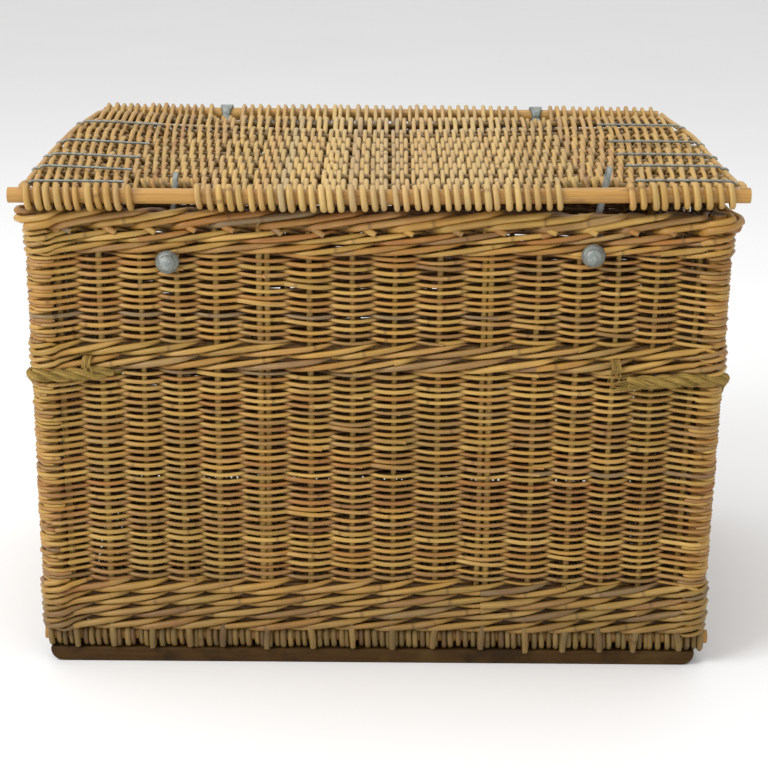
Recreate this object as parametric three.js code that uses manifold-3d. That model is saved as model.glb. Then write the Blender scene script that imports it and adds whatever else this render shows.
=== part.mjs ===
// Woven laundry hamper: a cane-and-willow box on two wooden runners, with a hinged woven lid,
// two steel hasp bars that stand up through slots in the lid, and a rope handle on each side.
// Millimetres, +Z up, +X to the right, front towards -Y. Origin under the middle of the box,
// on the plane that the runners stand on.
import * as THREE from 'three';
import { mergeVertices } from 'three/addons/utils/BufferGeometryUtils.js';
import Module from 'manifold-3d';

const wasm = await Module();
wasm.setup();

// ---------------------------------------------------------------- driving dimensions
const GAP = 0.3; // between pieces that touch
const RUN = 0.5; // radial running clearance of the lid's rail in its hinge eyes

// the box
const BOX_W = 800; // over the outside of the weave, left to right
const BOX_D = 562; // over the outside of the weave, front to back
const WEAVE_T = 18; // stakes with a rod over and under them
const WALE_T = 25; // the thicker bands
const WALE_PROUD = 4; // how far a band stands out of the weave
const BORDER_PROUD = 6;
const POST_R = 10.5; // corner posts with the rods' turns round them
const FACETS = 20;

// heights of what is stacked up, from the floor
const RUNNER_H = 17.7;
const BASE_ROLL_R = 14.5; // the base's front and rear rails with the rods wrapped round them
const BASE_WALE_H = 58;
const LOWER_WEAVE_H = 266;
const MID_WALE_H = 33;
const UPPER_WEAVE_H = 106;
const TOP_WALE_H = 28;
const BORDER_H = 25;
const LID_LIFT = 1.5; // border to the underside of the lid's wrapped rail

// base
const BASE_MAT_T = 22;
const BASE_RAIL_OVER = 4; // the rails' ends past the weave
const RUNNER_W = 36;
const RUNNER_INSET = 1; // runner's outer edge behind the wrapped rail
const RUNNER_SHORT = [3, 12]; // at the left and right end
const RUNNER_END_R = 15;

// lid
const RAIL_R = 9; // bare pole
const ROD_D = 6.5;
const ROLL_R = RAIL_R + ROD_D; // pole with a rod wrapped round it
const RAIL_FORWARD = 9; // rail's axis outside the face of the weave
const LID_OVER = 20; // rails past the box at each end
const ROLL_SHORT = 20; // bare pole at each end of a rail
const LID_WEAVE_T = 22;
const SIDE_STICK_R = 6;
const SIDE_STICK_IN = 13; // from the rail's end to the side stick's axis
const SIDE_STICK_LIFT = 11; // above the rail's axis
const SIDE_STICK_OUT = 12; // past the front rail's axis
const WIRE_R = 1.5;
const WIRE_SLACK = 0.8; // between the hook and the stick
const WIRE_LENGTH = 108; // along the lid, from the side stick inwards
const WIRES_LEFT = [22, 95, 175, 270, 415]; // behind the front rail's axis
const WIRES_RIGHT = [24, 122, 207, 307, 439];

// steel: hasp bars in the front wall, hinge eyes in the rear wall
const BAR_W = 20;
const BAR_T = 5;
const BAR_TAIL = 12; // below the bolt
const HASP_X = 242; // middle of the lid's slot
const HASP_TOP = 98; // above the bolt
const HASP_LEAN_LEFT = 5; // degrees to the right
const HASP_LEAN_RIGHT = 11;
const HASP_TWIST_FROM = 13; // above the bolt
const HASP_TWIST_TO = 42;
const HASP_EYE_R = 5.5;
const HASP_EYE_DOWN = 11; // from the top
const SLOT_W = 66;
const SLOT_CLEAR = 3.5; // behind the bar
const HINGE_X = 218;
const HINGE_BAR_W = 18;
const HINGE_EYE_T = 4;
const NOTCH_W = 40;
const NOTCH_CLEAR = 6.5; // in front of the bar
const BOLT_DROP = 8; // below the top wale
const BOLT_SET_RIGHT = [4, 11]; // how far right and up the right hasp's bolt sits
const BOLT_R = 4;
const BOLT_HOLE_R = 4.5;
const BOLT_HEAD_R = 10;
const BOLT_HEAD_H = 6;
const CUP_R = 14;
const CUP_H = 6;
const CUP_WALL = 2;
const NUT_R = 7.5;
const NUT_H = 6.5;
const BOLT_END = 2.5; // thread past the nut

// rope handles
const ROPE_R = 8.5;
const ROPE_FACETS = 10;

// ---------------------------------------------------------------- places worked out from them
const halfW = BOX_W / 2;
const halfD = BOX_D / 2;
const zBaseAxis = RUNNER_H + GAP + BASE_ROLL_R;
const zBase = zBaseAxis + BASE_ROLL_R;
const zLower = zBase + BASE_WALE_H;
const zMid = zLower + LOWER_WEAVE_H;
const zUpper = zMid + MID_WALE_H;
const zTopWale = zUpper + UPPER_WEAVE_H;
const zBorder = zTopWale + TOP_WALE_H;
const zRim = zBorder + BORDER_H;
const zLid = zRim + LID_LIFT + ROLL_R; // axis of the lid's rails
const yRail = halfD + RAIL_FORWARD;
const waleW = halfW + WALE_PROUD;
const waleD = halfD + WALE_PROUD;
const innerW = waleW - WALE_T;
const innerD = waleD - WALE_T;
const postX = halfW - POST_R;
const postY = halfD - POST_R;
const railHalf = halfW + LID_OVER;
const lidEdge = yRail - ROLL_R - GAP; // front and rear edges of the lid's weave
const stickX = railHalf - SIDE_STICK_IN;
const lidHalfW = stickX - SIDE_STICK_R - 1;
const zBolt = zTopWale - BOLT_DROP;
const bolts = { // x, z and wall of each bolt
  front_left: [-HASP_X, zBolt, -1],
  front_right: [HASP_X + BOLT_SET_RIGHT[0], zBolt + BOLT_SET_RIGHT[1], -1],
  rear_left: [-HINGE_X, zBolt, 1],
  rear_right: [HINGE_X, zBolt, 1],
};
const barFace = innerD - GAP; // the side of a bar that lies against the wall
const slotBack = -barFace + BAR_W + SLOT_CLEAR;
const notchFront = barFace - BAR_T - NOTCH_CLEAR;

// ---------------------------------------------------------------- finishes
const finish = (color, roughness, metalness = 0) =>
  new THREE.MeshStandardMaterial({ color, roughness, metalness });
const willow = finish(0xb08a4c, 0.6);
const paleWillow = finish(0xc8a566, 0.6);
const cane = finish(0xbf9346, 0.45);
const darkWood = finish(0x54402a, 0.8);
const steel = finish(0x98a2a4, 0.45, 0.9);
const sisal = finish(0xa89a4e, 0.9);

// ---------------------------------------------------------------- helpers
const hamper = new THREE.Group();
hamper.name = 'laundry_hamper';

function add(name, geometry, material) {
  const mesh = new THREE.Mesh(geometry, material);
  mesh.name = name;
  hamper.add(mesh);
  return mesh;
}

function block([x0, x1], [y0, y1], [z0, z1]) {
  return new THREE.BoxGeometry(x1 - x0, y1 - y0, z1 - z0)
    .translate((x0 + x1) / 2, (y0 + y1) / 2, (z0 + z1) / 2);
}

function rod(radius, from, to, facets = FACETS) {
  const a = new THREE.Vector3(...from);
  const b = new THREE.Vector3(...to);
  const turn = new THREE.Quaternion().setFromUnitVectors(
    new THREE.Vector3(0, 1, 0), b.clone().sub(a).normalize());
  return new THREE.CylinderGeometry(radius, radius, a.distanceTo(b), facets)
    .applyQuaternion(turn).translate(...a.add(b).multiplyScalar(0.5).toArray());
}

function solid(geometry) {
  const bare = new THREE.BufferGeometry();
  bare.setAttribute('position', geometry.getAttribute('position').clone());
  bare.setIndex(geometry.index);
  const merged = mergeVertices(bare, 1e-4);
  return new wasm.Manifold(new wasm.Mesh({
    numProp: 3,
    vertProperties: Float32Array.from(merged.attributes.position.array),
    triVerts: Uint32Array.from(merged.index.array),
  }));
}

function surface(manifold) {
  const mesh = manifold.getMesh();
  const geometry = new THREE.BufferGeometry();
  geometry.setAttribute('position', new THREE.BufferAttribute(mesh.vertProperties, 3));
  geometry.setIndex(new THREE.BufferAttribute(mesh.triVerts, 1));
  return geometry;
}

const cut = (geometry, ...tools) =>
  surface(tools.reduce((left, tool) => left.subtract(solid(tool)), solid(geometry)));

function circle(x, y, radius, facets = FACETS) {
  const path = new THREE.Path();
  for (let i = 0; i < facets; i++) {
    const a = (2 * Math.PI * i) / facets;
    const [px, py] = [x + radius * Math.cos(a), y + radius * Math.sin(a)];
    if (i === 0) path.moveTo(px, py);
    else path.lineTo(px, py);
  }
  path.closePath();
  return path;
}

function roundedRect(w, d, r, target = new THREE.Shape()) {
  target.moveTo(w, -d + r).lineTo(w, d - r).absarc(w - r, d - r, r, 0, Math.PI / 2)
    .lineTo(-w + r, d).absarc(-w + r, d - r, r, Math.PI / 2, Math.PI)
    .lineTo(-w, -d + r).absarc(-w + r, -d + r, r, Math.PI, 1.5 * Math.PI)
    .lineTo(w - r, -d).absarc(w - r, -d + r, r, 1.5 * Math.PI, 2 * Math.PI);
  return target;
}

function polygon(points) {
  return new THREE.Shape(points.map(([x, y]) => new THREE.Vector2(x, y)));
}

function prism(shape, from, to) {
  return new THREE.ExtrudeGeometry(shape, {
    depth: to - from, bevelEnabled: false, curveSegments: 4,
  }).translate(0, 0, from);
}

// A shape drawn in X and Z, given a thickness along Y.
function upright(shape, y0, y1) {
  return prism(shape, -y1, -y0).rotateX(Math.PI / 2);
}

// A shape drawn in Y and Z, given a thickness along X.
function crosswise(shape, x0, x1) {
  return prism(shape, x0, x1).applyMatrix4(new THREE.Matrix4().makeBasis(
    new THREE.Vector3(0, 1, 0), new THREE.Vector3(0, 0, 1), new THREE.Vector3(1, 0, 0)));
}

// The outline of a bar of one thickness that follows a bent line, with mitred bends.
function barOutline(line, thickness) {
  const points = line.map(([x, y]) => new THREE.Vector2(x, y));
  const side = (sign) => points.map((p, i) => {
    const before = points[Math.max(i - 1, 0)];
    const after = points[Math.min(i + 1, points.length - 1)];
    const into = p.clone().sub(i ? before : after).multiplyScalar(i ? 1 : -1).normalize();
    const out = after.clone().sub(i === points.length - 1 ? before : p).normalize();
    const normal = new THREE.Vector2(-into.y - out.y, into.x + out.x).normalize();
    const reach = thickness / 2 / (-into.y * normal.x + into.x * normal.y);
    return p.clone().addScaledVector(normal, sign * reach);
  });
  return new THREE.Shape([...side(-1), ...side(1).reverse()]);
}

function tube(points, radius, sides, steps) {
  const path = new THREE.CatmullRomCurve3(
    points.map((p) => new THREE.Vector3(...p)), false, 'centripetal');
  const section = new THREE.Shape(circle(0, 0, radius, sides).getPoints().slice(0, sides));
  return new THREE.ExtrudeGeometry(section, { steps, bevelEnabled: false, extrudePath: path });
}

// ---------------------------------------------------------------- base
function runner(name, side) {
  const [left, right] = [RUNNER_SHORT[0] - halfW, halfW - RUNNER_SHORT[1]];
  const outer = side * (halfD - RUNNER_INSET);
  const inner = side * (halfD - RUNNER_INSET - RUNNER_W);
  const shape = new THREE.Shape()
    .moveTo(right, RUNNER_H).lineTo(left, RUNNER_H).lineTo(left, RUNNER_END_R)
    .absarc(left + RUNNER_END_R, RUNNER_END_R, RUNNER_END_R, Math.PI, 1.5 * Math.PI)
    .lineTo(right - RUNNER_END_R, 0)
    .absarc(right - RUNNER_END_R, RUNNER_END_R, RUNNER_END_R, 1.5 * Math.PI, 2 * Math.PI);
  add(name, upright(shape, Math.min(outer, inner), Math.max(outer, inner)), darkWood);
}

runner('runner_front', -1);
runner('runner_rear', 1);

for (const [name, side] of [['base_front_rail', -1], ['base_rear_rail', 1]]) {
  const y = side * (halfD - BASE_ROLL_R);
  const x = halfW + BASE_RAIL_OVER;
  add(name, rod(BASE_ROLL_R, [-x, y, zBaseAxis], [x, y, zBaseAxis]), willow);
}
const matEdge = halfD - 2 * BASE_ROLL_R - GAP;
add('base_mat', block([-halfW + 4, halfW - 4], [-matEdge, matEdge],
  [zBaseAxis - BASE_MAT_T / 2, zBaseAxis + BASE_MAT_T / 2]), willow);

// ---------------------------------------------------------------- walls
const corners = [
  ['front_left', -1, -1], ['front_right', 1, -1], ['rear_left', -1, 1], ['rear_right', 1, 1],
];
for (const [name, sx, sy] of corners) {
  add(`post_${name}`, rod(POST_R, [sx * postX, sy * postY, zBase + GAP],
    [sx * postX, sy * postY, zRim - 3]), cane);
}

// The hole that each bolt needs through the walls.
const boltHoles = () => Object.values(bolts).map(([x, z, side]) =>
  rod(BOLT_HOLE_R, [x, side * (innerD - 5), z], [x, side * (waleD + 5), z]));

// A band of twisted rods that goes all the way round, with the corner posts passing through it.
function band(name, from, to, proud, bolted = false) {
  const shape = roundedRect(halfW + proud, halfD + proud, 14);
  const inside = roundedRect(innerW, innerD, 4, new THREE.Path());
  const bores = corners.map(([, sx, sy]) => circle(sx * postX, sy * postY, POST_R + GAP));
  shape.holes.push(inside, ...bores);
  const ring = prism(shape, from + GAP, to);
  add(name, bolted ? cut(ring, ...boltHoles()) : ring, willow);
}

band('base_wale', zBase, zLower, WALE_PROUD);
band('mid_wale', zMid, zUpper, WALE_PROUD);
band('top_wale', zTopWale, zBorder, WALE_PROUD, true);
band('border', zBorder, zRim, BORDER_PROUD);

// One wall's plain weave between two posts.
function weave(name, side, from, to, bolted = false) {
  const long = postX - POST_R - GAP;
  const faces = [side * halfD, side * (halfD - WEAVE_T)].sort((a, b) => a - b);
  const slab = block([-long, long], faces, [from + GAP, to]);
  add(name, bolted ? cut(slab, ...boltHoles()) : slab, willow);
}

function sideWeave(name, side, from, to) {
  const long = postY - POST_R - GAP;
  const faces = [side * halfW, side * (halfW - WEAVE_T)].sort((a, b) => a - b);
  add(name, block(faces, [-long, long], [from + GAP, to]), willow);
}

weave('weave_front_lower', -1, zLower, zMid);
weave('weave_rear_lower', 1, zLower, zMid);
sideWeave('weave_left_lower', -1, zLower, zMid);
sideWeave('weave_right_lower', 1, zLower, zMid);
weave('weave_front_upper', -1, zUpper, zTopWale, true);
weave('weave_rear_upper', 1, zUpper, zTopWale, true);
sideWeave('weave_left_upper', -1, zUpper, zTopWale);
sideWeave('weave_right_upper', 1, zUpper, zTopWale);

// ---------------------------------------------------------------- bolts through the walls
// Each is turned from a profile whose axis is +Y, then faced outwards on its wall.
function fastener(where, [x, z, side]) {
  const seat = waleD + GAP; // outer face of the wall at the bolt
  const barIn = barFace - BAR_T - GAP;
  const place = (geometry) => {
    if (side < 0) geometry.rotateZ(Math.PI);
    return geometry.translate(x, 0, z);
  };
  const turned = (profile) => place(new THREE.LatheGeometry(
    profile.map(([r, y]) => new THREE.Vector2(r, y)), FACETS));
  const under = seat + CUP_H + GAP;
  const tip = barIn - NUT_H - GAP - BOLT_END;
  const dome = [];
  for (let i = 0; i <= 4; i++) {
    const a = (Math.PI / 2) * (i / 4);
    dome.push([BOLT_HEAD_R * Math.cos(a), under + 1 + (BOLT_HEAD_H - 1) * Math.sin(a)]);
  }
  dome[4][0] = 0;
  add(`bolt_${where}`, turned([
    [0, tip], [BOLT_R, tip], [BOLT_R, under], [BOLT_HEAD_R, under], ...dome,
  ]), steel);
  add(`cup_washer_${where}`, turned([
    [BOLT_HOLE_R, seat + CUP_H - CUP_WALL], [CUP_R - CUP_WALL - 3, seat + CUP_H - CUP_WALL],
    [CUP_R - CUP_WALL, seat], [CUP_R, seat], [CUP_R - 3, seat + CUP_H - 0.5],
    [CUP_R - 4, seat + CUP_H], [BOLT_HOLE_R, seat + CUP_H],
    [BOLT_HOLE_R, seat + CUP_H - CUP_WALL],
  ]), steel);
  const hex = new THREE.Shape(circle(0, 0, NUT_R, 6).getPoints().slice(0, 6));
  hex.holes.push(circle(0, 0, BOLT_R + GAP));
  add(`nut_${where}`, place(upright(hex, barIn - NUT_H, barIn)), steel);
}

for (const [where, place] of Object.entries(bolts)) fastener(where, place);

// ---------------------------------------------------------------- hasp bars
// A flat bar bolted inside the front wall. Above the bolt it turns edge-on to the front and
// stands up through the lid's slot, where its round top has an eye.
function hasp(name, [x, zPivot], lean) {
  const length = HASP_TOP + BAR_TAIL;
  const bar = new THREE.BoxGeometry(BAR_W, BAR_T, length, 1, 1, 36)
    .translate(0, 0, length / 2 - BAR_TAIL);
  const flat = -barFace + BAR_T / 2;
  const edge = -barFace + BAR_W / 2;
  const place = bar.getAttribute('position');
  for (let i = 0; i < place.count; i++) {
    const z = place.getZ(i);
    const turn = THREE.MathUtils.smoothstep(z, HASP_TWIST_FROM, HASP_TWIST_TO);
    const fromEnd = Math.min(z + BAR_TAIL, HASP_TOP - z, BAR_W / 2);
    const narrow = Math.max(0.25, Math.sqrt(1 - (1 - fromEnd / (BAR_W / 2)) ** 2));
    const [w, t] = [place.getX(i) * narrow, place.getY(i)];
    const a = (turn * Math.PI) / 2;
    const clear = -barFace + (BAR_W / 2) * Math.sin(a) + (BAR_T / 2) * Math.cos(a);
    place.setXYZ(i, w * Math.cos(a) - t * Math.sin(a),
      w * Math.sin(a) + t * Math.cos(a) + clear, z);
  }
  const eyeZ = HASP_TOP - HASP_EYE_DOWN;
  const drilled = cut(bar,
    rod(BOLT_HOLE_R, [0, flat - BAR_T, 0], [0, flat + BAR_T, 0]),
    rod(HASP_EYE_R, [-BAR_T, edge, eyeZ], [BAR_T, edge, eyeZ]));
  drilled.rotateY(THREE.MathUtils.degToRad(lean)).translate(x, 0, zPivot);
  add(name, drilled, steel);
}

hasp('hasp_left', bolts.front_left, HASP_LEAN_LEFT);
hasp('hasp_right', bolts.front_right, HASP_LEAN_RIGHT);

// ---------------------------------------------------------------- hinge eyes
// A flat bar bolted inside the rear wall, bent back above the border into an eye that holds
// the lid's rear rail.
function hinge(name, x) {
  const [x0, x1] = [x - HINGE_BAR_W / 2, x + HINGE_BAR_W / 2];
  const eyeOut = RAIL_R + RUN + HINGE_EYE_T;
  const line = barFace - BAR_T / 2;
  const tail = crosswise(barOutline([
    [line, zBolt - BAR_TAIL], [line, zRim + 4.4], [yRail - eyeOut + 2.5, zLid - 2],
  ], BAR_T), x0, x1);
  const eye = rod(eyeOut, [x0, yRail, zLid], [x1, yRail, zLid]);
  const bore = rod(RAIL_R + RUN, [x0 - 1, yRail, zLid], [x1 + 1, yRail, zLid]);
  const boltHole = rod(BOLT_HOLE_R, [x, line - BAR_T, zBolt], [x, line + BAR_T, zBolt]);
  add(name, surface(solid(tail).add(solid(eye)).subtract(solid(bore))
    .subtract(solid(boltHole))), steel);
}

hinge('hinge_eye_left', -HINGE_X);
hinge('hinge_eye_right', HINGE_X);

// ---------------------------------------------------------------- lid
// A pole that is bare at its ends and where the bars stand, and thick where rods wrap it.
function lidRail(name, y, bareAt, bareW) {
  const profile = [[0, -railHalf], [RAIL_R, -railHalf]];
  const ends = bareAt.flatMap((x) => [x - bareW / 2, x + bareW / 2]);
  const stops = [-railHalf + ROLL_SHORT, ...ends, railHalf - ROLL_SHORT];
  stops.forEach((x, i) => profile.push(...(i % 2
    ? [[ROLL_R, x], [RAIL_R, x]] : [[RAIL_R, x], [ROLL_R, x]])));
  profile.push([RAIL_R, railHalf], [0, railHalf]);
  const pole = new THREE.LatheGeometry(
    profile.map(([r, x]) => new THREE.Vector2(r, x)), FACETS);
  add(name, pole.rotateZ(-Math.PI / 2).translate(0, y, zLid), cane);
}

lidRail('lid_front_rail', -yRail, [-HASP_X, HASP_X], SLOT_W);
lidRail('lid_rear_rail', yRail, [-HINGE_X, HINGE_X], NOTCH_W);

function lidWeave() {
  const shape = polygon([
    [-lidHalfW, -lidEdge],
    ...[-HASP_X, HASP_X].flatMap((x) => [
      [x - SLOT_W / 2, -lidEdge], [x - SLOT_W / 2, slotBack],
      [x + SLOT_W / 2, slotBack], [x + SLOT_W / 2, -lidEdge],
    ]),
    [lidHalfW, -lidEdge], [lidHalfW, lidEdge],
    ...[HINGE_X, -HINGE_X].flatMap((x) => [
      [x + NOTCH_W / 2, lidEdge], [x + NOTCH_W / 2, notchFront],
      [x - NOTCH_W / 2, notchFront], [x - NOTCH_W / 2, lidEdge],
    ]),
    [-lidHalfW, lidEdge],
  ]);
  add('lid_weave', prism(shape, zLid - LID_WEAVE_T / 2, zLid + LID_WEAVE_T / 2), paleWillow);
}
lidWeave();

for (const [name, side] of [['lid_side_stick_left', -1], ['lid_side_stick_right', 1]]) {
  const z = zLid + SIDE_STICK_LIFT;
  const stick = rod(SIDE_STICK_R, [side * stickX, -yRail - SIDE_STICK_OUT, z],
    [side * stickX, yRail - RAIL_R - GAP, z]);
  const lap = rod(RAIL_R + GAP, [-railHalf, -yRail, zLid], [railHalf, -yRail, zLid]);
  add(name, cut(stick, lap), cane);
}

// Galvanised wires that lie on the weave and hook over the side stick.
function wire(name, side, behindRail) {
  const y = -yRail + behindRail;
  const zFlat = zLid + LID_WEAVE_T / 2 + GAP + WIRE_R;
  const zStick = zLid + SIDE_STICK_LIFT;
  const bend = SIDE_STICK_R + WIRE_SLACK + WIRE_R;
  const points = [[stickX - bend - WIRE_LENGTH, zFlat], [stickX - bend - 40, zFlat],
    [stickX - bend - 10, zFlat], [stickX - bend - 3, zFlat + 1.2]];
  for (const degrees of [125, 90, 50, 10, -30]) {
    const a = THREE.MathUtils.degToRad(degrees);
    points.push([stickX + bend * Math.cos(a), zStick + bend * Math.sin(a)]);
  }
  add(name, tube(points.map(([x, z]) => [side * x, y, z]), WIRE_R, 6, 26), steel);
}

WIRES_LEFT.forEach((behind, i) => wire(`lid_wire_left_${i + 1}`, -1, behind));
WIRES_RIGHT.forEach((behind, i) => wire(`lid_wire_right_${i + 1}`, 1, behind));

// ---------------------------------------------------------------- rope handles
// Each rope is tucked into the front wall under the middle wale, goes round the corner, hangs
// in a shallow loop along the side and is tucked into the rear wall in the same way.
const ROPE_CORNER = [
  [300, -290.4, 362], [335, -290.4, 362], [365, -290.4, 362], [390, -290.4, 362],
  [399.5, -287.7, 362], [406.7, -280.8, 362], [409.4, -273, 362],
  [409.4, -268, 362],
];
const ROPE_HANG = [
  [409.4, -267.7, 362], [409.4, -262, 362], [409.4, -252, 358], [409.4, -235, 347],
  [409.4, -205, 322],
  [409.4, -170, 296], [409.4, -125, 267], [409.4, -75, 245], [409.4, 0, 234],
  [409.4, 75, 245], [409.4, 125, 267], [409.4, 170, 296], [409.4, 205, 322],
  [409.4, 235, 347], [409.4, 252, 358], [409.4, 262, 362], [409.4, 267.7, 362],
];
for (const [name, side] of [['rope_left', -1], ['rope_right', 1]]) {
  const across = (points, back = 1) => points.map(([x, y, z]) => [side * x, back * y, z]);
  add(`${name}_front_tuck`, tube(across(ROPE_CORNER), ROPE_R, ROPE_FACETS, 9), sisal);
  add(`${name}_handle`, tube(across(ROPE_HANG), ROPE_R, ROPE_FACETS, 26), sisal);
  add(`${name}_rear_tuck`, tube(across(ROPE_CORNER, -1), ROPE_R, ROPE_FACETS, 9), sisal);
}

export default hamper;
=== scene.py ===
"""Woven willow laundry hamper: a boxy basket on two runners, with a hinged woven lid.

Every piece is built in millimetres, in the frame's own axes; all but the rope handles ride on
a CAD body.
"""

import logging
import math
from dataclasses import dataclass, field
from enum import Enum
from typing import Any, Callable, Iterable, Optional, Sequence, Union

import bmesh
import bpy
import numpy as np
from mathutils import Matrix, Vector


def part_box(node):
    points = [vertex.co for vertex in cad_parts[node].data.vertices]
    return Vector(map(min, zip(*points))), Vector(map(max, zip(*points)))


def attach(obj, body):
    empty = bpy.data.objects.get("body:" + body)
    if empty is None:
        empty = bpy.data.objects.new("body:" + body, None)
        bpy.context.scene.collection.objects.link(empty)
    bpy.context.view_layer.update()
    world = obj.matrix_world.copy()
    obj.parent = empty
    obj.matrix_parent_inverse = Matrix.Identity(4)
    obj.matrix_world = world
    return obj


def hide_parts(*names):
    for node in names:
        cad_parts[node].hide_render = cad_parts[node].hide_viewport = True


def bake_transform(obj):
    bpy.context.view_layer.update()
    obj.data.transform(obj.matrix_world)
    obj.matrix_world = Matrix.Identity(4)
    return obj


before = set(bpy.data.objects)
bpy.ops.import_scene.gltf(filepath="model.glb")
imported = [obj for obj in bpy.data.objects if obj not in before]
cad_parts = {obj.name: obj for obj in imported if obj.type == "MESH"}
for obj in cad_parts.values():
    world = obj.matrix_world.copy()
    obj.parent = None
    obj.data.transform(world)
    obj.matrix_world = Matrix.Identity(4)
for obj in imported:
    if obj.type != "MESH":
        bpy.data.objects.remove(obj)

MM = 0.001
LOG = logging.getLogger("hamper")
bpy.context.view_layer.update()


# ---------------------------------------------------------------- small helpers
def mm_box(node: str) -> tuple[np.ndarray, np.ndarray]:
    """Returns a CAD node's lowest and highest corner, in millimetres."""
    low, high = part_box(node)
    return np.array(low) / MM, np.array(high) / MM


def ease(x: np.ndarray) -> np.ndarray:
    """Returns x, cut to 0..1, on a smooth step."""
    t = np.clip(x, 0.0, 1.0)
    return t * t * (3.0 - 2.0 * t)


def linear(red: float, green: float, blue: float) -> tuple[float, float, float, float]:
    """Returns a display colour, 0 to 255, as a scene-linear colour with alpha."""
    return tuple(((c / 255.0) / 12.92 if c < 11 else ((c / 255.0 + 0.055) / 1.055) ** 2.4)
                 for c in (red, green, blue)) + (1.0,)


class Body(Enum):
    """The moving bodies of the frame."""

    HAMPER = "hamper"
    LID = "lid"
    HASP_LEFT = "hasp_left"
    HASP_RIGHT = "hasp_right"
    HANDLE_LEFT = "handle_left"
    HANDLE_RIGHT = "handle_right"


# ---------------------------------------------------------------- materials
Operand = Union["Value", float, int]


@dataclass(frozen=True)
class Value:
    """A number that varies over a surface, as an expression on shader sockets."""

    bench: "Bench"
    socket: bpy.types.NodeSocket

    def _math(self, operation: str, *inputs: Operand) -> "Value":
        """Adds one Math node.

        Args:
            operation: the Math node's operation.
            inputs: its values, in socket order.

        Returns:
            The node's result.
        """
        return self.bench.value("ShaderNodeMath", {"operation": operation},
                                dict(enumerate(inputs)))

    def __add__(self, other: Operand) -> "Value":
        """Returns self + other."""
        return self._math("ADD", self, other)

    __radd__ = __add__

    def __sub__(self, other: Operand) -> "Value":
        """Returns self - other."""
        return self._math("SUBTRACT", self, other)

    def __rsub__(self, other: Operand) -> "Value":
        """Returns other - self."""
        return self._math("SUBTRACT", other, self)

    def __mul__(self, other: Operand) -> "Value":
        """Returns self * other."""
        return self._math("MULTIPLY", self, other)

    __rmul__ = __mul__

    def __truediv__(self, other: Operand) -> "Value":
        """Returns self / other."""
        return self._math("DIVIDE", self, other)

    def __pow__(self, other: Operand) -> "Value":
        """Returns self to the power of other."""
        return self._math("POWER", self, other)

    def fraction(self) -> "Value":
        """Returns the part behind the decimal point."""
        return self._math("FRACT", self)

    def size(self) -> "Value":
        """Returns the absolute value."""
        return self._math("ABSOLUTE", self)

    def ramp(self, low: float, high: float) -> "Value":
        """Returns 0 below low, 1 above high, and a smooth step between them."""
        return self.bench.value(
            "ShaderNodeMapRange", {"interpolation_type": "SMOOTHSTEP"},
            {0: self, 1: low, 2: high, 3: 0.0, 4: 1.0})


Colour = Union[bpy.types.NodeSocket, tuple]


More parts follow.
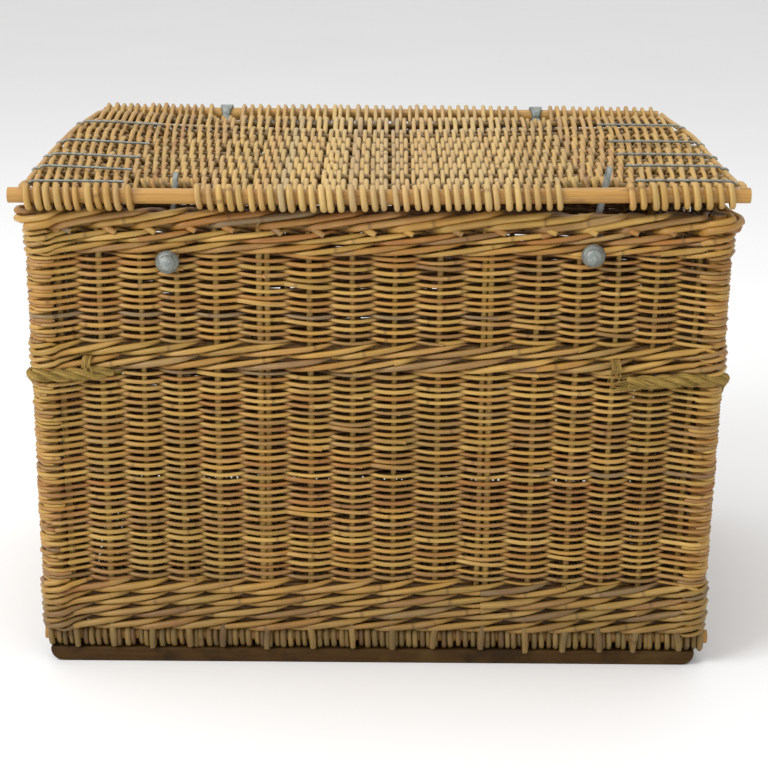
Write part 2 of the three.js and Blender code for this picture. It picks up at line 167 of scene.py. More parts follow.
class Bench:
    """Builds one node material."""

    def __init__(self, name: str) -> None:
        """Starts a material with an output and nothing else.

        Args:
            name: the material's name.
        """
        self.material = bpy.data.materials.new(name)
        self.material.use_nodes = True
        self.tree = self.material.node_tree
        self.tree.nodes.clear()

    def node(self, kind: str, settings: dict[str, Any],
             inputs: dict[Union[int, str], Any]) -> bpy.types.Node:
        """Adds one node.

        Args:
            kind: the node's type.
            settings: its own settings, among them "stops" for a ramp.
            inputs: a value or a link for each socket, by name or number.

        Returns:
            The new node.
        """
        made = self.tree.nodes.new(kind)
        for key, setting in settings.items():
            if key == "stops":
                elements = made.color_ramp.elements
                while len(elements) < len(setting):
                    elements.new(0.5)
                for element, (place, colour) in zip(elements, setting):
                    element.position, element.color = place, colour
            else:
                setattr(made, key, setting)
        for key, given in inputs.items():
            given = given.socket if isinstance(given, Value) else given
            if isinstance(given, bpy.types.NodeSocket):
                self.tree.links.new(given, made.inputs[key])
            else:
                made.inputs[key].default_value = given
        return made

    def value(self, kind: str, settings: dict[str, Any],
              inputs: dict[Union[int, str], Any], output: int = 0) -> Value:
        """Adds one node and returns one of its outputs as a value."""
        return Value(self, self.node(kind, settings, inputs).outputs[output])

    def attribute(self, name: str) -> tuple[Value, Value, Value]:
        """Returns the three numbers of a vector attribute."""
        read = self.node("ShaderNodeAttribute", {"attribute_name": name}, {})
        parts = self.node("ShaderNodeSeparateXYZ", {}, {0: read.outputs["Vector"]})
        return tuple(Value(self, parts.outputs[i]) for i in range(3))

    def place(self) -> bpy.types.NodeSocket:
        """Returns the Object coordinates."""
        return self.node("ShaderNodeTexCoord", {}, {}).outputs["Object"]

    def vector(self, x: Operand, y: Operand, z: Operand) -> bpy.types.NodeSocket:
        """Returns three numbers as one vector."""
        return self.node("ShaderNodeCombineXYZ", {}, {0: x, 1: y, 2: z}).outputs[0]

    def noise(self, at: bpy.types.NodeSocket, scale: float, detail: float = 2.0,
              rough: float = 0.5) -> Value:
        """Returns a noise from 0 to 1 at a vector."""
        return self.value("ShaderNodeTexNoise", {"noise_dimensions": "3D"},
                          {"Vector": at, "Scale": scale, "Detail": detail,
                           "Roughness": rough})

    def mix(self, factor: Operand, under: Colour, over: Colour,
            blend: str = "MIX") -> bpy.types.NodeSocket:
        """Mixes two colours.

        Args:
            factor: how much of the second shows.
            under: the first colour.
            over: the second colour.
            blend: the blend type.

        Returns:
            The mixed colour's socket.
        """
        return self.node("ShaderNodeMix", {"data_type": "RGBA", "blend_type": blend},
                         {0: factor, 6: under, 7: over}).outputs[2]

    def ramp(self, factor: Value, stops: Sequence[tuple[float, tuple]]) -> Colour:
        """Returns a colour ramp's colour at a value."""
        return self.node("ShaderNodeValToRGB", {"stops": stops}, {0: factor}).outputs[0]

    def shade(self, factor: Operand, colour: Colour, depth: Operand) -> Colour:
        """Multiplies a colour by a grey: depth where factor is 1, nothing where it is 0."""
        grey = self.node("ShaderNodeCombineColor", {}, {0: depth, 1: depth, 2: depth})
        return self.mix(factor, colour, grey.outputs[0], "MULTIPLY")

    def finish(self, colour: Colour, roughness: Operand, bump: Optional[Value] = None,
               height: float = 0.0, **fixed: Any) -> bpy.types.Material:
        """Adds the shader and the output.

        Args:
            colour: the base colour.
            roughness: the roughness.
            bump: the height that the surface follows, from 0 to 1.
            height: what a height of 1 stands for, in millimetres.
            fixed: other sockets of the shader, with _ for a space.

        Returns:
            The finished material.
        """
        inputs = {"Base Color": colour, "Roughness": roughness}
        inputs.update({key.replace("_", " "): v for key, v in fixed.items()})
        if bump is not None:
            inputs["Normal"] = self.node(
                "ShaderNodeBump", {},
                {"Strength": 1.0, "Distance": height * MM, "Height": bump}).outputs[0]
        shader = self.node("ShaderNodeBsdfPrincipled", {}, inputs)
        self.node("ShaderNodeOutputMaterial", {}, {"Surface": shader.outputs[0]})
        return self.material


@dataclass(frozen=True)
class WillowFinish:
    """Peeled, weathered willow rods. Reads the rods' grain and rod attributes.

    Attributes:
        name: the material's name.
        palette: rod colours, spread over the rods by their seed.
        patch: the colour that large weathered patches lean to.
        patch_share: how strong those patches are.
        node_gap: the spacing of the dark node rings, in millimetres.
        bleached: how strongly the middle is bleached and the ends stay brown.
    """

    name: str
    palette: tuple[tuple[float, tuple], ...]
    patch: tuple
    patch_share: float = 0.35
    node_gap: float = 190.0
    bleached: float = 0.0

    def build(self) -> bpy.types.Material:
        """Returns the material."""
        b = Bench(self.name)
        gx, gy, along = b.attribute("grain")
        seed, deep, cut = b.attribute("rod")
        second, third = (seed * 17.31).fraction(), (seed * 91.73).fraction()
        colour = b.ramp(seed, self.palette)
        mottle = b.noise(b.vector(along * 0.011, seed * 80.0, 0.0), 1.0, 3.0, 0.6)
        colour = b.mix(mottle.ramp(0.5, 0.72) * 0.5, colour, linear(124, 78, 36))
        colour = b.mix(mottle.ramp(0.5, 0.3) * 0.45, colour, linear(196, 160, 94))
        streak = b.noise(b.vector(gx * 0.8, gy * 0.8, along * 0.022 + seed * 40.0),
                         1.0, 4.0, 0.65)
        colour = b.shade(streak.ramp(0.6, 0.3), colour, 0.66)
        blotch = b.noise(b.place(), 5.5, 3.0, 0.6)
        colour = b.mix(blotch.ramp(0.46, 0.7) * self.patch_share, colour, self.patch)
        if self.bleached:
            across = b.value("ShaderNodeSeparateXYZ", {}, {0: b.place()})
            middle = (across - 0.05).size()
            colour = b.mix(middle.ramp(0.24, 0.06) * self.bleached, colour,
                           linear(206, 186, 138))
            colour = b.mix(middle.ramp(0.2, 0.38) * 0.2, colour, linear(150, 108, 50))
        stain = b.noise(b.vector(gx * 0.25, gy * 0.25, along * 0.045 + second * 30.0),
                        1.0, 3.0, 0.7)
        colour = b.mix(stain.ramp(0.64, 0.8) * 0.6, colour, linear(84, 50, 26))
        ring = ((along / self.node_gap + third).fraction() - 0.5).size() * self.node_gap
        colour = b.mix(ring.ramp(3.2, 0.6) * 0.42, colour, linear(80, 48, 24))
        colour = b.mix(cut, colour, linear(186, 154, 100))
        level = b.value("ShaderNodeSeparateXYZ", {}, {0: b.place()}, 2)
        colour = b.shade(level.ramp(0.17, 0.03), colour, 0.62)
        # Painted shade: rods turn dark brown by their deep value, where they lie inside the
        # weave, behind a band or under a panel.
        colour = b.mix(deep.ramp(0.1, 0.9) * 0.82, colour, linear(74, 42, 10))
        height = streak * 0.6 + ring.ramp(5.0, 0.5) * 0.9
        return b.finish(colour, 0.42 + streak * 0.25, height, 0.4,
                        Coat_Weight=0.2, Coat_Roughness=0.3, Specular_IOR_Level=0.4)


@dataclass(frozen=True)
class CaneFinish:
    """A thick peeled pole: smooth, satin, with long fine fibre lines."""

    name: str = "cane_pole"

    def build(self) -> bpy.types.Material:
        """Returns the material."""
        b = Bench(self.name)
        gx, gy, along = b.attribute("grain")
        seed, deep, cut = b.attribute("rod")
        colour = b.ramp(seed, ((0.0, linear(164, 116, 48)), (0.5, linear(184, 138, 62)),
                               (1.0, linear(154, 120, 58))))
        fibre = b.noise(b.vector(gx * 0.55, gy * 0.55, along * 0.008 + seed * 40.0),
                        1.0, 5.0, 0.7)
        colour = b.shade(fibre.ramp(0.58, 0.3), colour, 0.7)
        colour = b.mix(fibre.ramp(0.55, 0.75) * 0.5, colour, linear(202, 166, 98))
        stain = b.noise(b.vector(gx * 0.06, gy * 0.06, along * 0.02 + seed * 9.0),
                        1.0, 3.0, 0.6)
        colour = b.mix(stain.ramp(0.55, 0.75) * 0.55, colour, linear(104, 68, 30))
        colour = b.mix(stain.ramp(0.42, 0.25) * 0.4, colour, linear(128, 114, 66))
        colour = b.mix(cut, colour, linear(64, 44, 26))
        # Painted shade: the pole darkens by its deep value, where it lies inside the weave.
        colour = b.mix(deep.ramp(0.15, 1.0) * 0.7, colour, linear(74, 48, 24))
        return b.finish(colour, 0.42 + fibre * 0.25, fibre, 0.3, Coat_Weight=0.2,
                        Coat_Roughness=0.3)


@dataclass(frozen=True)
class SteelFinish:
    """Dull hot-dip galvanised steel, with faint spangle and grey weathering."""

    name: str = "galvanised"

    def build(self) -> bpy.types.Material:
        """Returns the material."""
        b = Bench(self.name)
        at = b.place()
        spangle = b.value("ShaderNodeTexVoronoi", {"feature": "F1"},
                          {"Vector": at, "Scale": 320.0}, 1)
        tone = b.noise(at, 140.0, 4.0, 0.65)
        grey = b.value("ShaderNodeRGBToBW", {}, {0: spangle.socket})
        colour = b.mix(grey, linear(122, 128, 124), linear(152, 157, 152))
        colour = b.mix(tone.ramp(0.48, 0.7) * 0.7, colour, linear(88, 88, 82))
        pits = b.noise(at, 900.0, 2.0, 0.5)
        return b.finish(colour, 0.46 + tone * 0.25, pits * 0.5 + tone, 0.35,
                        Metallic=0.6)


@dataclass(frozen=True)
class TimberFinish:
    """Old dark-stained timber for the runners, blotched darker and lighter."""

    name: str = "old_timber"

    def build(self) -> bpy.types.Material:
        """Returns the material."""
        b = Bench(self.name)
        at = b.place()
        stretched = b.node("ShaderNodeMapping", {}, {0: at, 3: (0.05, 1.0, 1.0)}).outputs[0]
        grain = b.noise(stretched, 260.0, 5.0, 0.65)
        blot = b.noise(at, 22.0, 4.0, 0.6)
        colour = b.mix(grain, linear(36, 24, 8), linear(84, 58, 24))
        colour = b.mix(blot.ramp(0.5, 0.7) * 0.6, colour, linear(26, 18, 7))
        colour = b.mix(blot.ramp(0.45, 0.3) * 0.35, colour, linear(88, 70, 34))
        return b.finish(colour, 0.55 + grain * 0.3, grain * 0.7 + blot * 0.3, 0.6,
                        Specular_IOR_Level=0.15)


@dataclass(frozen=True)
class SisalFinish:
    """Sisal fibre, dry olive straw, with fine fibres along each strand."""

    name: str = "sisal"
    dark: tuple = linear(62, 44, 14)
    light: tuple = linear(188, 156, 80)

    def build(self) -> bpy.types.Material:
        """Returns the material."""
        b = Bench(self.name)
        gx, gy, along = b.attribute("grain")
        seed, deep, _ = b.attribute("rod")
        fibre = b.noise(b.vector(gx * 1.6, gy * 1.6, along * 0.05 + seed * 40.0),
                        1.0, 4.0, 0.7)
        tone = b.noise(b.place(), 60.0, 3.0, 0.6)
        colour = b.mix(fibre.ramp(0.3, 0.7), self.dark, self.light)
        colour = b.mix(tone.ramp(0.45, 0.7) * 0.5, colour, linear(128, 104, 56))
        # Painted shade: strands darken by their deep value.
        colour = b.mix(deep.ramp(0.2, 1.0) * 0.6, colour, linear(50, 36, 16))
        return b.finish(colour, 0.85, fibre, 0.9, Specular_IOR_Level=0.2)


HONEY = WillowFinish(
    "honey_willow",
    ((0.00, linear(150, 98, 38)), (0.14, linear(170, 122, 50)),
     (0.30, linear(184, 140, 62)), (0.48, linear(162, 126, 54)),
     (0.62, linear(194, 154, 76)), (0.74, linear(164, 116, 60)),
     (0.85, linear(146, 112, 58)), (0.93, linear(158, 104, 42)),
     (1.00, linear(122, 108, 78))),
    linear(134, 108, 46), 0.4)
BUTT = WillowFinish(
    "weathered_willow",
    ((0.00, linear(126, 96, 40)), (0.40, linear(152, 118, 52)),
     (0.75, linear(134, 108, 52)), (1.00, linear(112, 80, 34))),
    linear(108, 94, 42), 0.4)
PALE = WillowFinish(
    "pale_willow",
    ((0.00, linear(166, 124, 56)), (0.20, linear(184, 144, 72)),
     (0.45, linear(196, 160, 88)), (0.62, linear(176, 144, 80)),
     (0.78, linear(186, 142, 76)), (0.90, linear(172, 152, 106)),
     (1.00, linear(166, 116, 54))),
    linear(176, 150, 92), 0.3, 190.0, 0.22)
STAKE = WillowFinish(
    "stake_willow",
    ((0.00, linear(158, 124, 56)), (0.50, linear(172, 140, 70)),
     (1.00, linear(150, 116, 54))),
    linear(130, 108, 50), 0.3, 210.0)


class Finishes:
    """Builds each finish once and hands it out."""

    def __init__(self) -> None:
        """Builds every material."""
        self.willow = HONEY.build()
        self.pale = PALE.build()
        self.butt = BUTT.build()
        self.stake = STAKE.build()
        self.cane = CaneFinish().build()
        self.steel = SteelFinish().build()
        self.timber = TimberFinish().build()
        self.sisal = SisalFinish().build()
        self.raffia = SisalFinish("raffia", linear(120, 92, 40),
                                  linear(182, 152, 84)).build()


# ---------------------------------------------------------------- rods
@dataclass
class Rod:
    """One rod: the line it follows and how it looks.

    Attributes:
        points: its centre line, in millimetres, one row per point.
        radius: its radius at each point.
        seed: what its colour and grain follow, 0 to 1.
        deep: how far inside the weave each point lies, 0 to 1, where the finishes paint shade.
    """

    points: np.ndarray
    radius: np.ndarray
    seed: float
    deep: np.ndarray


class RodBundle:
    """Rods that become one mesh, with the attributes that the finishes read."""

    def __init__(self, name: str, sides: int = 8) -> None:
        """Starts an empty bundle.

        Args:
            name: the piece's name.
            sides: how many sides a rod has: an even number from 4.
        """
        self.name, self.sides = name, sides
        self.rods: list[Rod] = []

    def add(self, points: np.ndarray, radius: Union[float, np.ndarray], seed: float,
            deep: Union[float, np.ndarray] = 0.0) -> None:
        """Adds one rod.

        Args:
            points: its centre line, in millimetres.
            radius: its radius, one number or one per point.
            seed: its seed, 0 to 1.
            deep: its depth in the weave, one number or one per point.
        """
        points = np.asarray(points, float)
        count = len(points)
        self.rods.append(Rod(points, np.broadcast_to(radius, count).astype(float),
                             seed, np.broadcast_to(deep, count).astype(float)))

    def _curve(self) -> bpy.types.Curve:
        """Returns the rods as one curve with round, capped splines."""
        curve = bpy.data.curves.new(self.name, "CURVE")
        curve.dimensions = "3D"
        curve.bevel_depth = MM
        curve.bevel_resolution = (self.sides - 4) // 2
        curve.use_fill_caps = True
        for rod in self.rods:
            spline = curve.splines.new("POLY")
            count = len(rod.points)
            spline.points.add(count - 1)
            places = np.ones((count, 4), np.float32)
            places[:, :3] = rod.points * MM
            spline.points.foreach_set("co", places.ravel())
            spline.points.foreach_set("radius", rod.radius.astype(np.float32))
        return curve

    def _attributes(self) -> tuple[np.ndarray, np.ndarray]:
        """Returns the grain and rod attributes in the mesh's own vertex order."""
        sides = self.sides
        turn = np.arange(sides) / sides * 2.0 * math.pi
        round_ = np.stack([np.cos(turn), np.sin(turn), np.zeros(sides)], 1)
        caps_grain, caps_rod, tube_grain, tube_rod = [], [], [], []
        for rod in self.rods:
            steps = np.linalg.norm(np.diff(rod.points, axis=0), axis=1)
            along = np.concatenate([[0.0], np.cumsum(steps)])
            grain = round_[None] * rod.radius[:, None, None]
            grain[:, :, 2] = along[:, None]
            facts = np.stack([np.full(len(along), rod.seed), rod.deep,
                              np.zeros(len(along))], 1)
            tube_grain.append(grain.reshape(-1, 3))
            tube_rod.append(np.repeat(facts, sides, 0))
            ends = np.array([facts[-1], facts[0]]) + [0.0, 0.0, 1.0]
            caps_grain.insert(0, np.concatenate([grain[-1], grain[0]]))
            caps_rod.insert(0, np.repeat(ends, sides, 0))
        return (np.concatenate(caps_grain + tube_grain),
                np.concatenate(caps_rod + tube_rod))

    def mesh(self) -> bpy.types.Object:
        """Returns the rods as one mesh object at the origin."""
        curve = self._curve()
        holder = bpy.data.objects.new(self.name, curve)
        mesh = bpy.data.meshes.new_from_object(holder)
        bpy.data.objects.remove(holder)
        bpy.data.curves.remove(curve)
        mesh.name = self.name
        for name, values in zip(("grain", "rod"), self._attributes()):
            made = mesh.attributes.new(name, "FLOAT_VECTOR", "POINT")
            made.data.foreach_set("vector", values.astype(np.float32).ravel())
        mesh.shade_smooth()
        piece = bpy.data.objects.new(self.name, mesh)
        bpy.context.scene.collection.objects.link(piece)
        return piece


def dress(piece: bpy.types.Object, material: bpy.types.Material,
          body: Optional[Body] = None, nodes: Iterable[str] = ()) -> bpy.types.Object:
    """Gives a piece its material, its body and the nodes that it replaces.

    Args:
        piece: the finished piece.
        material: its material.
        body: the body it rides on, or None, which leaves it without a body.
        nodes: the CAD nodes that it stands for.

    Returns:
        The piece.
    """
    piece.data.materials.clear()
    piece.data.materials.append(material)
    if body is not None:
        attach(piece, body.value)
    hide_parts(*nodes)
    piece.data.calc_loop_triangles()
    LOG.info("%-28s %7d triangles", piece.name, len(piece.data.loop_triangles))
    return piece


# ---------------------------------------------------------------- the plan of the box
class Wall(Enum):
    """The four walls, in the order in which a rod travels round the box."""

    FRONT = 0
    RIGHT = 1
    REAR = 2
    LEFT = 3


@dataclass
class Plan:
    """Where stakes stand and how a line runs round the box.

    Attributes:
        half_w: the centre of the side walls, from the middle.
        half_d: the centre of the front and rear walls, from the middle.
        corner: the radius at which the centre line turns a corner.
        front_stakes: stake positions along the front.
        side_stakes: how many stakes a side has.
        doubles: front stakes that are pairs of rods.
    """

    half_w: float
    half_d: float
    corner: float = 14.0
    front_stakes: tuple[float, ...] = (
        -370, -324, -275, -232, -188, -133, -79, -29, 19, 71, 128, 186, 234, 277, 323,
        370)
    side_stakes: int = 10
    doubles: tuple[int, ...] = (5, 10)
    post_out: float = 18.0
    post_in: float = -9.5
    walls: list[np.ndarray] = field(init=False)

    def __post_init__(self) -> None:
        """Works out the stations on each wall, from corner to corner."""
        self.arc = self.corner * math.pi / 4.0
        self.lengths = [2.0 * (half - self.corner + self.arc)
                        for half in (self.half_w, self.half_d) * 2]
        self.starts = np.concatenate([[0.0], np.cumsum(self.lengths)])
        self.walls = []
        rng = np.random.default_rng(11)
        for wall in Wall:
            length = self.lengths[wall.value]
            if wall in (Wall.FRONT, Wall.REAR):
                stakes = np.array(self.front_stakes, float)
                if wall is Wall.REAR:
                    stakes = -stakes[::-1] + rng.uniform(-4, 4, len(stakes))
                inner = stakes + length / 2.0
            else:
                inner = np.linspace(0.0, length, self.side_stakes + 2)[1:-1]
                inner = inner + rng.uniform(-3, 3, len(inner))
            self.walls.append(np.concatenate([[0.0], inner, [length]]))

    def stations(self) -> np.ndarray:
        """Returns every station once, as a distance round the box."""
        return np.concatenate([self.starts[w.value] + self.walls[w.value][:-1]
                               for w in Wall])

    def outline(self, s: np.ndarray) -> tuple[np.ndarray, np.ndarray]:
        """Finds the centre line of the walls.

        Args:
            s: distances round the box, from the front left corner.

        Returns:
            The points and the outward directions, in plan.
        """
        s = np.mod(np.asarray(s, float), self.starts[-1])
        wall = np.clip(np.searchsorted(self.starts, s, "right") - 1, 0, 3)
        u = s - self.starts[wall]
        lengths = np.array(self.lengths)[wall]
        halves = np.array([self.half_w, self.half_d] * 2)[wall]
        offset = np.array([self.half_d, self.half_w] * 2)[wall]
        r, a = self.corner, self.arc
        angle = np.where(u < a, -math.pi / 4 + u / r,
                         np.where(u > lengths - a, (u - lengths + a) / r, 0.0))
        flat = np.clip(u - a, 0.0, lengths - 2 * a) - (halves - r)
        p = flat + r * np.sin(angle)
        q = offset - r + r * np.cos(angle)
        tangent = np.array([[1, 0], [0, 1], [-1, 0], [0, -1]], float)[wall]
        normal = np.stack([tangent[:, 1], -tangent[:, 0]], 1)
        place = p[:, None] * tangent + q[:, None] * normal
        out = np.sin(angle)[:, None] * tangent + np.cos(angle)[:, None] * normal
        return place, out

    def reach(self, s: np.ndarray, side: np.ndarray, out: float,
              bulge: float = 0.0) -> np.ndarray:
        """Returns how far from the centre line a rod lies.

        Args:
            s: distances round the box.
            side: 1 in front of the stakes, -1 behind them.
            out: the distance at a plain stake.
            bulge: how much further it stands off at a corner.

        Returns:
            The distance outwards, larger where a rod passes a corner post.
        """
        near = np.min(np.abs(np.asarray(s)[:, None] - self.starts[None]), axis=1)
        post = np.exp(-(near / 15.0) ** 2)
        front = out + (self.post_out - 6.2) * post
        back = out - (self.post_in + 6.2) * post
        wide = bulge * np.exp(-(near / 34.0) ** 2)
        return np.where(side > 0, side * front + wide, side * back)

    def sway(self, s: np.ndarray, z: np.ndarray) -> np.ndarray:
        """Returns the slow rise and fall that all rods at a height share."""
        t = np.asarray(s) / self.starts[-1] * 2.0 * math.pi
        return (0.9 * np.sin(3 * t + 0.004 * z) + 0.7 * np.sin(7 * t + 1.3 - 0.006 * z)
                + 0.5 * np.sin(17 * t + 0.01 * z))

    def points(self, s: np.ndarray, n: np.ndarray, z: np.ndarray) -> np.ndarray:
        """Returns points at distances s, n outwards from the centre line, height z."""
        place, out = self.outline(s)
        z = np.broadcast_to(z, len(place))
        xy = place + out * np.asarray(n)[:, None]
        return self.settle(np.column_stack([xy, z + self.sway(s, z)]))

    @staticmethod
    def settle(points: np.ndarray) -> np.ndarray:
        """Returns points with the box drawn in a little towards its foot."""
        x, low = points[:, 0], np.clip((470.0 - points[:, 2]) / 400.0, 0.0, 1.0)
        draw = low * (8.0 * ease(x / 380.0) - 2.5 * ease(-x / 380.0))
        return points - np.column_stack([draw, 0.0 * draw, 0.0 * draw])


# ---------------------------------------------------------------- walls
@dataclass
class Stakes:
    """The upright rods of the walls and the four corner posts."""

    plan: Plan
    low: float
    high: float
    radius: float = 3.9

    def build(self, finish: Finishes) -> None:
        """Builds the stakes and the posts.

        Args:
            finish: the finishes.
        """
        rng = np.random.default_rng(21)
        stakes = RodBundle("wall_stakes")
        for wall in Wall:
            for i, u in enumerate(self.plan.walls[wall.value][1:-1]):
                pair = (wall in (Wall.FRONT, Wall.REAR)
                        and i in self.plan.doubles)
                for shift in ((-4.6, 4.6) if pair else (0.0,)):
                    self._stake(stakes, self.plan.starts[wall.value] + u + shift, rng)
        dress(stakes.mesh(), finish.stake, Body.HAMPER)
        self._butts(rng, finish)
        for front in ("front", "rear"):
            for side in ("left", "right"):
                self._post(f"{front}_{side}", rng, finish)

    def _butts(self, rng: np.random.Generator, finish: Finishes) -> None:
        """Builds the stake ends that come down over the base poles."""
        bundle = RodBundle("stake_butts")
        for wall in (Wall.FRONT, Wall.REAR):
            for u in self.plan.walls[wall.value][1:-1]:
                s = self.plan.starts[wall.value] + u + rng.uniform(-3, 3)
                lean = rng.uniform(-4.0, 4.0)
                line = s + lean * np.array([-1.0, -0.4, 0.3, 1.0, 1.2])
                n = np.array([2.0, 4.5, 8.5, 11.5, 10.5]) + rng.uniform(-0.6, 0.6)
                z = np.array([62.0, 50.0, 43.0, 33.0, rng.uniform(19.0, 22.0)])
                size = rng.uniform(4.2, 5.0) * np.array([1.0, 1.0, 1.0, 0.95, 0.8])
                bundle.add(self.plan.points(line, n, z), size, rng.random(),
                           np.array([0.5, 0.25, 0.05, 0.1, 0.2]))
        dress(bundle.mesh(), finish.butt, Body.HAMPER)

    def _stake(self, bundle: RodBundle, s: float, rng: np.random.Generator) -> None:
        """Adds one stake at a distance round the box."""
        z = np.linspace(self.low, self.high, 15)
        wander = np.cumsum(rng.normal(0.0, 0.35, len(z)))
        radius = self.radius * rng.uniform(0.85, 1.12) * np.linspace(1.06, 0.9, len(z))
        bundle.add(self.plan.points(s + wander, np.zeros(len(z)), z), radius,
                   rng.random(), 0.22)

    def _post(self, where: str, rng: np.random.Generator, finish: Finishes) -> None:
        """Builds one corner post in place of its CAD node."""
        low, high = mm_box(f"post_{where}")
        centre, radius = (low + high) / 2.0, (high[0] - low[0]) / 2.0
        bundle = RodBundle(f"corner_post_{where}", 16)
        z = np.linspace(low[2], high[2], 60)
        swell = 0.35 * np.exp(-((np.mod(z, 190.0) - 95.0) / 4.0) ** 2)
        points = np.column_stack([np.full(60, centre[0]), np.full(60, centre[1]), z])
        bundle.add(self.plan.settle(points), radius - 0.5 + swell, rng.random(), 0.1)
        dress(bundle.mesh(), finish.cane, Body.HAMPER, [f"post_{where}"])


@dataclass
class WallWeave:
    """Plain over-and-under rows between the bands, one piece per wall and zone.

    Attributes:
        plan: where the stakes stand.
        zone: lower or upper, which is part of each piece's name.
        low: the lowest row's underside.
        high: the highest row's top.
        pitch: the height of one row.
        radius: a rod's radius.
        out: how far a rod stands off the centre line at a stake.
        droop: how far a rod dips in front of a stake and rises behind it.
        join_chance: how often a rod ends and a new one takes over at a stake.
        joint_reach: how far from a corner one wall's rod may hand over to the next's.
        lap: how far each rod runs past the joint where it meets the next at a corner.
        rear_thick: how much thicker the rear wall's rods are.
        rear_droop: how much more the rear wall's rods dip.
        joints: where each row's rods meet, from each corner.
        tones: the seed that each row's rod carries round a corner.
    """

    plan: Plan
    zone: str
    low: float
    high: float
    pitch: float = 4.36
    radius: float = 2.5
    out: float = 6.1
    droop: float = 1.3
    join_chance: float = 0.055
    joint_reach: float = 17.0
    lap: float = 2.5
    rear_thick: float = 1.26
    rear_droop: float = 1.7
    joints: np.ndarray = field(init=False)
    tones: np.ndarray = field(init=False)

    def build(self, finish: Finishes) -> None:
        """Builds the rows on all four walls.

        Args:
            finish: the finishes.
        """
        rng = np.random.default_rng(31 if self.zone == "lower" else 32)
        count = round((self.high - self.low) / self.pitch)
        self.joints = rng.uniform(-self.joint_reach, self.joint_reach, (count, 4))
        self.tones = rng.random(count)
        for wall in Wall:
            bundle = RodBundle(f"{wall.name.lower()}_weave_{self.zone}")
            self._rows(bundle, wall, rng)
            dress(bundle.mesh(), finish.willow, Body.HAMPER,
                  [f"weave_{wall.name.lower()}_{self.zone}"])

    def _rows(self, bundle: RodBundle, wall: Wall, rng: np.random.Generator) -> None:
        """Adds every row of one wall."""
        before = sum(len(self.plan.walls[w.value]) - 1 for w in Wall
                     if w.value < wall.value)
        stops = self.plan.walls[wall.value]
        count = round((self.high - self.low) / self.pitch)
        pitch = (self.high - self.low) / count
        for row in range(count):
            z = self.low + (row + 0.5) * pitch
            start = 0
            while start < len(stops) - 1:
                end = start + 1
                while end < len(stops) - 1 and (min(end - start, len(stops) - 1 - end) < 4
                                                or rng.random() > self.join_chance):
                    end += 1
                if start > 0:
                    self.tones[row] = rng.random()
                self._rod(bundle, wall, stops, start, end, before + row, row, z, rng)
                start = end

    @staticmethod
    def _sign(station: int, phase: int, stops: np.ndarray) -> float:
        """Returns 1 where a row passes outside a station, as it does at any corner."""
        if station in (0, len(stops) - 1):
            return 1.0
        return 1.0 if (station + phase) % 2 == 0 else -1.0

    def _rod(self, bundle: RodBundle, wall: Wall, stops: np.ndarray, start: int,
             end: int, phase: int, row: int, z: float,
             rng: np.random.Generator) -> None:
        """Adds one rod that runs between two stations."""
        u, side = [], []
        for j in range(start, end):
            steps = 9 if j in (0, len(stops) - 2) else 5
            t = np.arange(steps) / steps
            here, there = self._sign(j, phase, stops), self._sign(j + 1, phase, stops)
            u.append(stops[j] + (stops[j + 1] - stops[j]) * t)
            side.append((here + there) / 2.0 + (here - there) / 2.0 * np.cos(math.pi * t))
        u.append([stops[end]])
        side.append([self._sign(end, phase, stops)])
        u, side = np.concatenate(u), np.concatenate(side)
        if start == 0:  # the next wall's rod takes over a little way from the corner
            first = self.joints[row, wall.value]
            keep = u > max(first, -1.0) + 1.0
            ahead = np.append(np.arange(first - self.lap, -1.0, self.lap), max(first, 0.0))
            u = np.concatenate([ahead, u[keep]])
            side = np.concatenate([np.ones(len(ahead)), side[keep]])
        if end == len(stops) - 1:
            past = self.joints[row, (wall.value + 1) % 4] + self.lap
            keep = u < stops[-1] + min(past, 1.0) - 1.0
            after = stops[-1] + np.append(np.arange(self.lap, past - 1.0, self.lap), past)
            u = np.concatenate([u[keep], after])
            side = np.concatenate([side[keep], np.ones(len(after))])
        else:  # the tail laps past the stake and its cut end shows
            tail = rng.uniform(3.0, 15.0)
            u = np.append(u, u[-1] + tail)
            side = np.append(side, side[-1] * 1.25)
        s = self.plan.starts[wall.value] + u
        broad = np.sign(side) * np.abs(side) ** 0.8
        n = self.plan.reach(s, broad, self.out)
        n = n + rng.normal(0.0, 0.25, len(n)) + rng.normal(0.0, 0.3)
        arc = np.zeros(len(n))
        if start > 0:  # a new rod starts behind the last one, and may arc over it
            n[0] -= 1.2
            if self._sign(start, phase, stops) < 0.0 and wall is Wall.FRONT:
                arc[:8] = [-2.4, 0.4, 2.4, 3.4, 3.4, 2.6, 1.4, 0.5]
                n[1:7] += [0.6, 1.6, 2.4, 2.4, 1.6, 0.8]
        wob = rng.uniform(0.1, 0.5) * np.sin(u / rng.uniform(40, 90)
                                              + rng.uniform(0, 6.3))
        radius = self.radius * rng.uniform(0.86, 1.12) \
            * np.linspace(1.05, rng.uniform(0.82, 1.0), len(u))
        radius[0] *= 0.5 if start == 0 else 1.0
        radius[-1] *= 0.5 if end == len(stops) - 1 else 1.0
        deep = ease((self.out * 0.7 - n) / (self.out * 1.6))
        droop = self.droop * (self.rear_droop if wall is Wall.REAR else 1.0)
        heights = z - droop * side + wob + arc + rng.normal(0.0, 0.3)
        if wall is Wall.REAR:
            radius = radius * self.rear_thick
        bundle.add(self.plan.points(s, n, heights), radius, self.tones[row], deep)


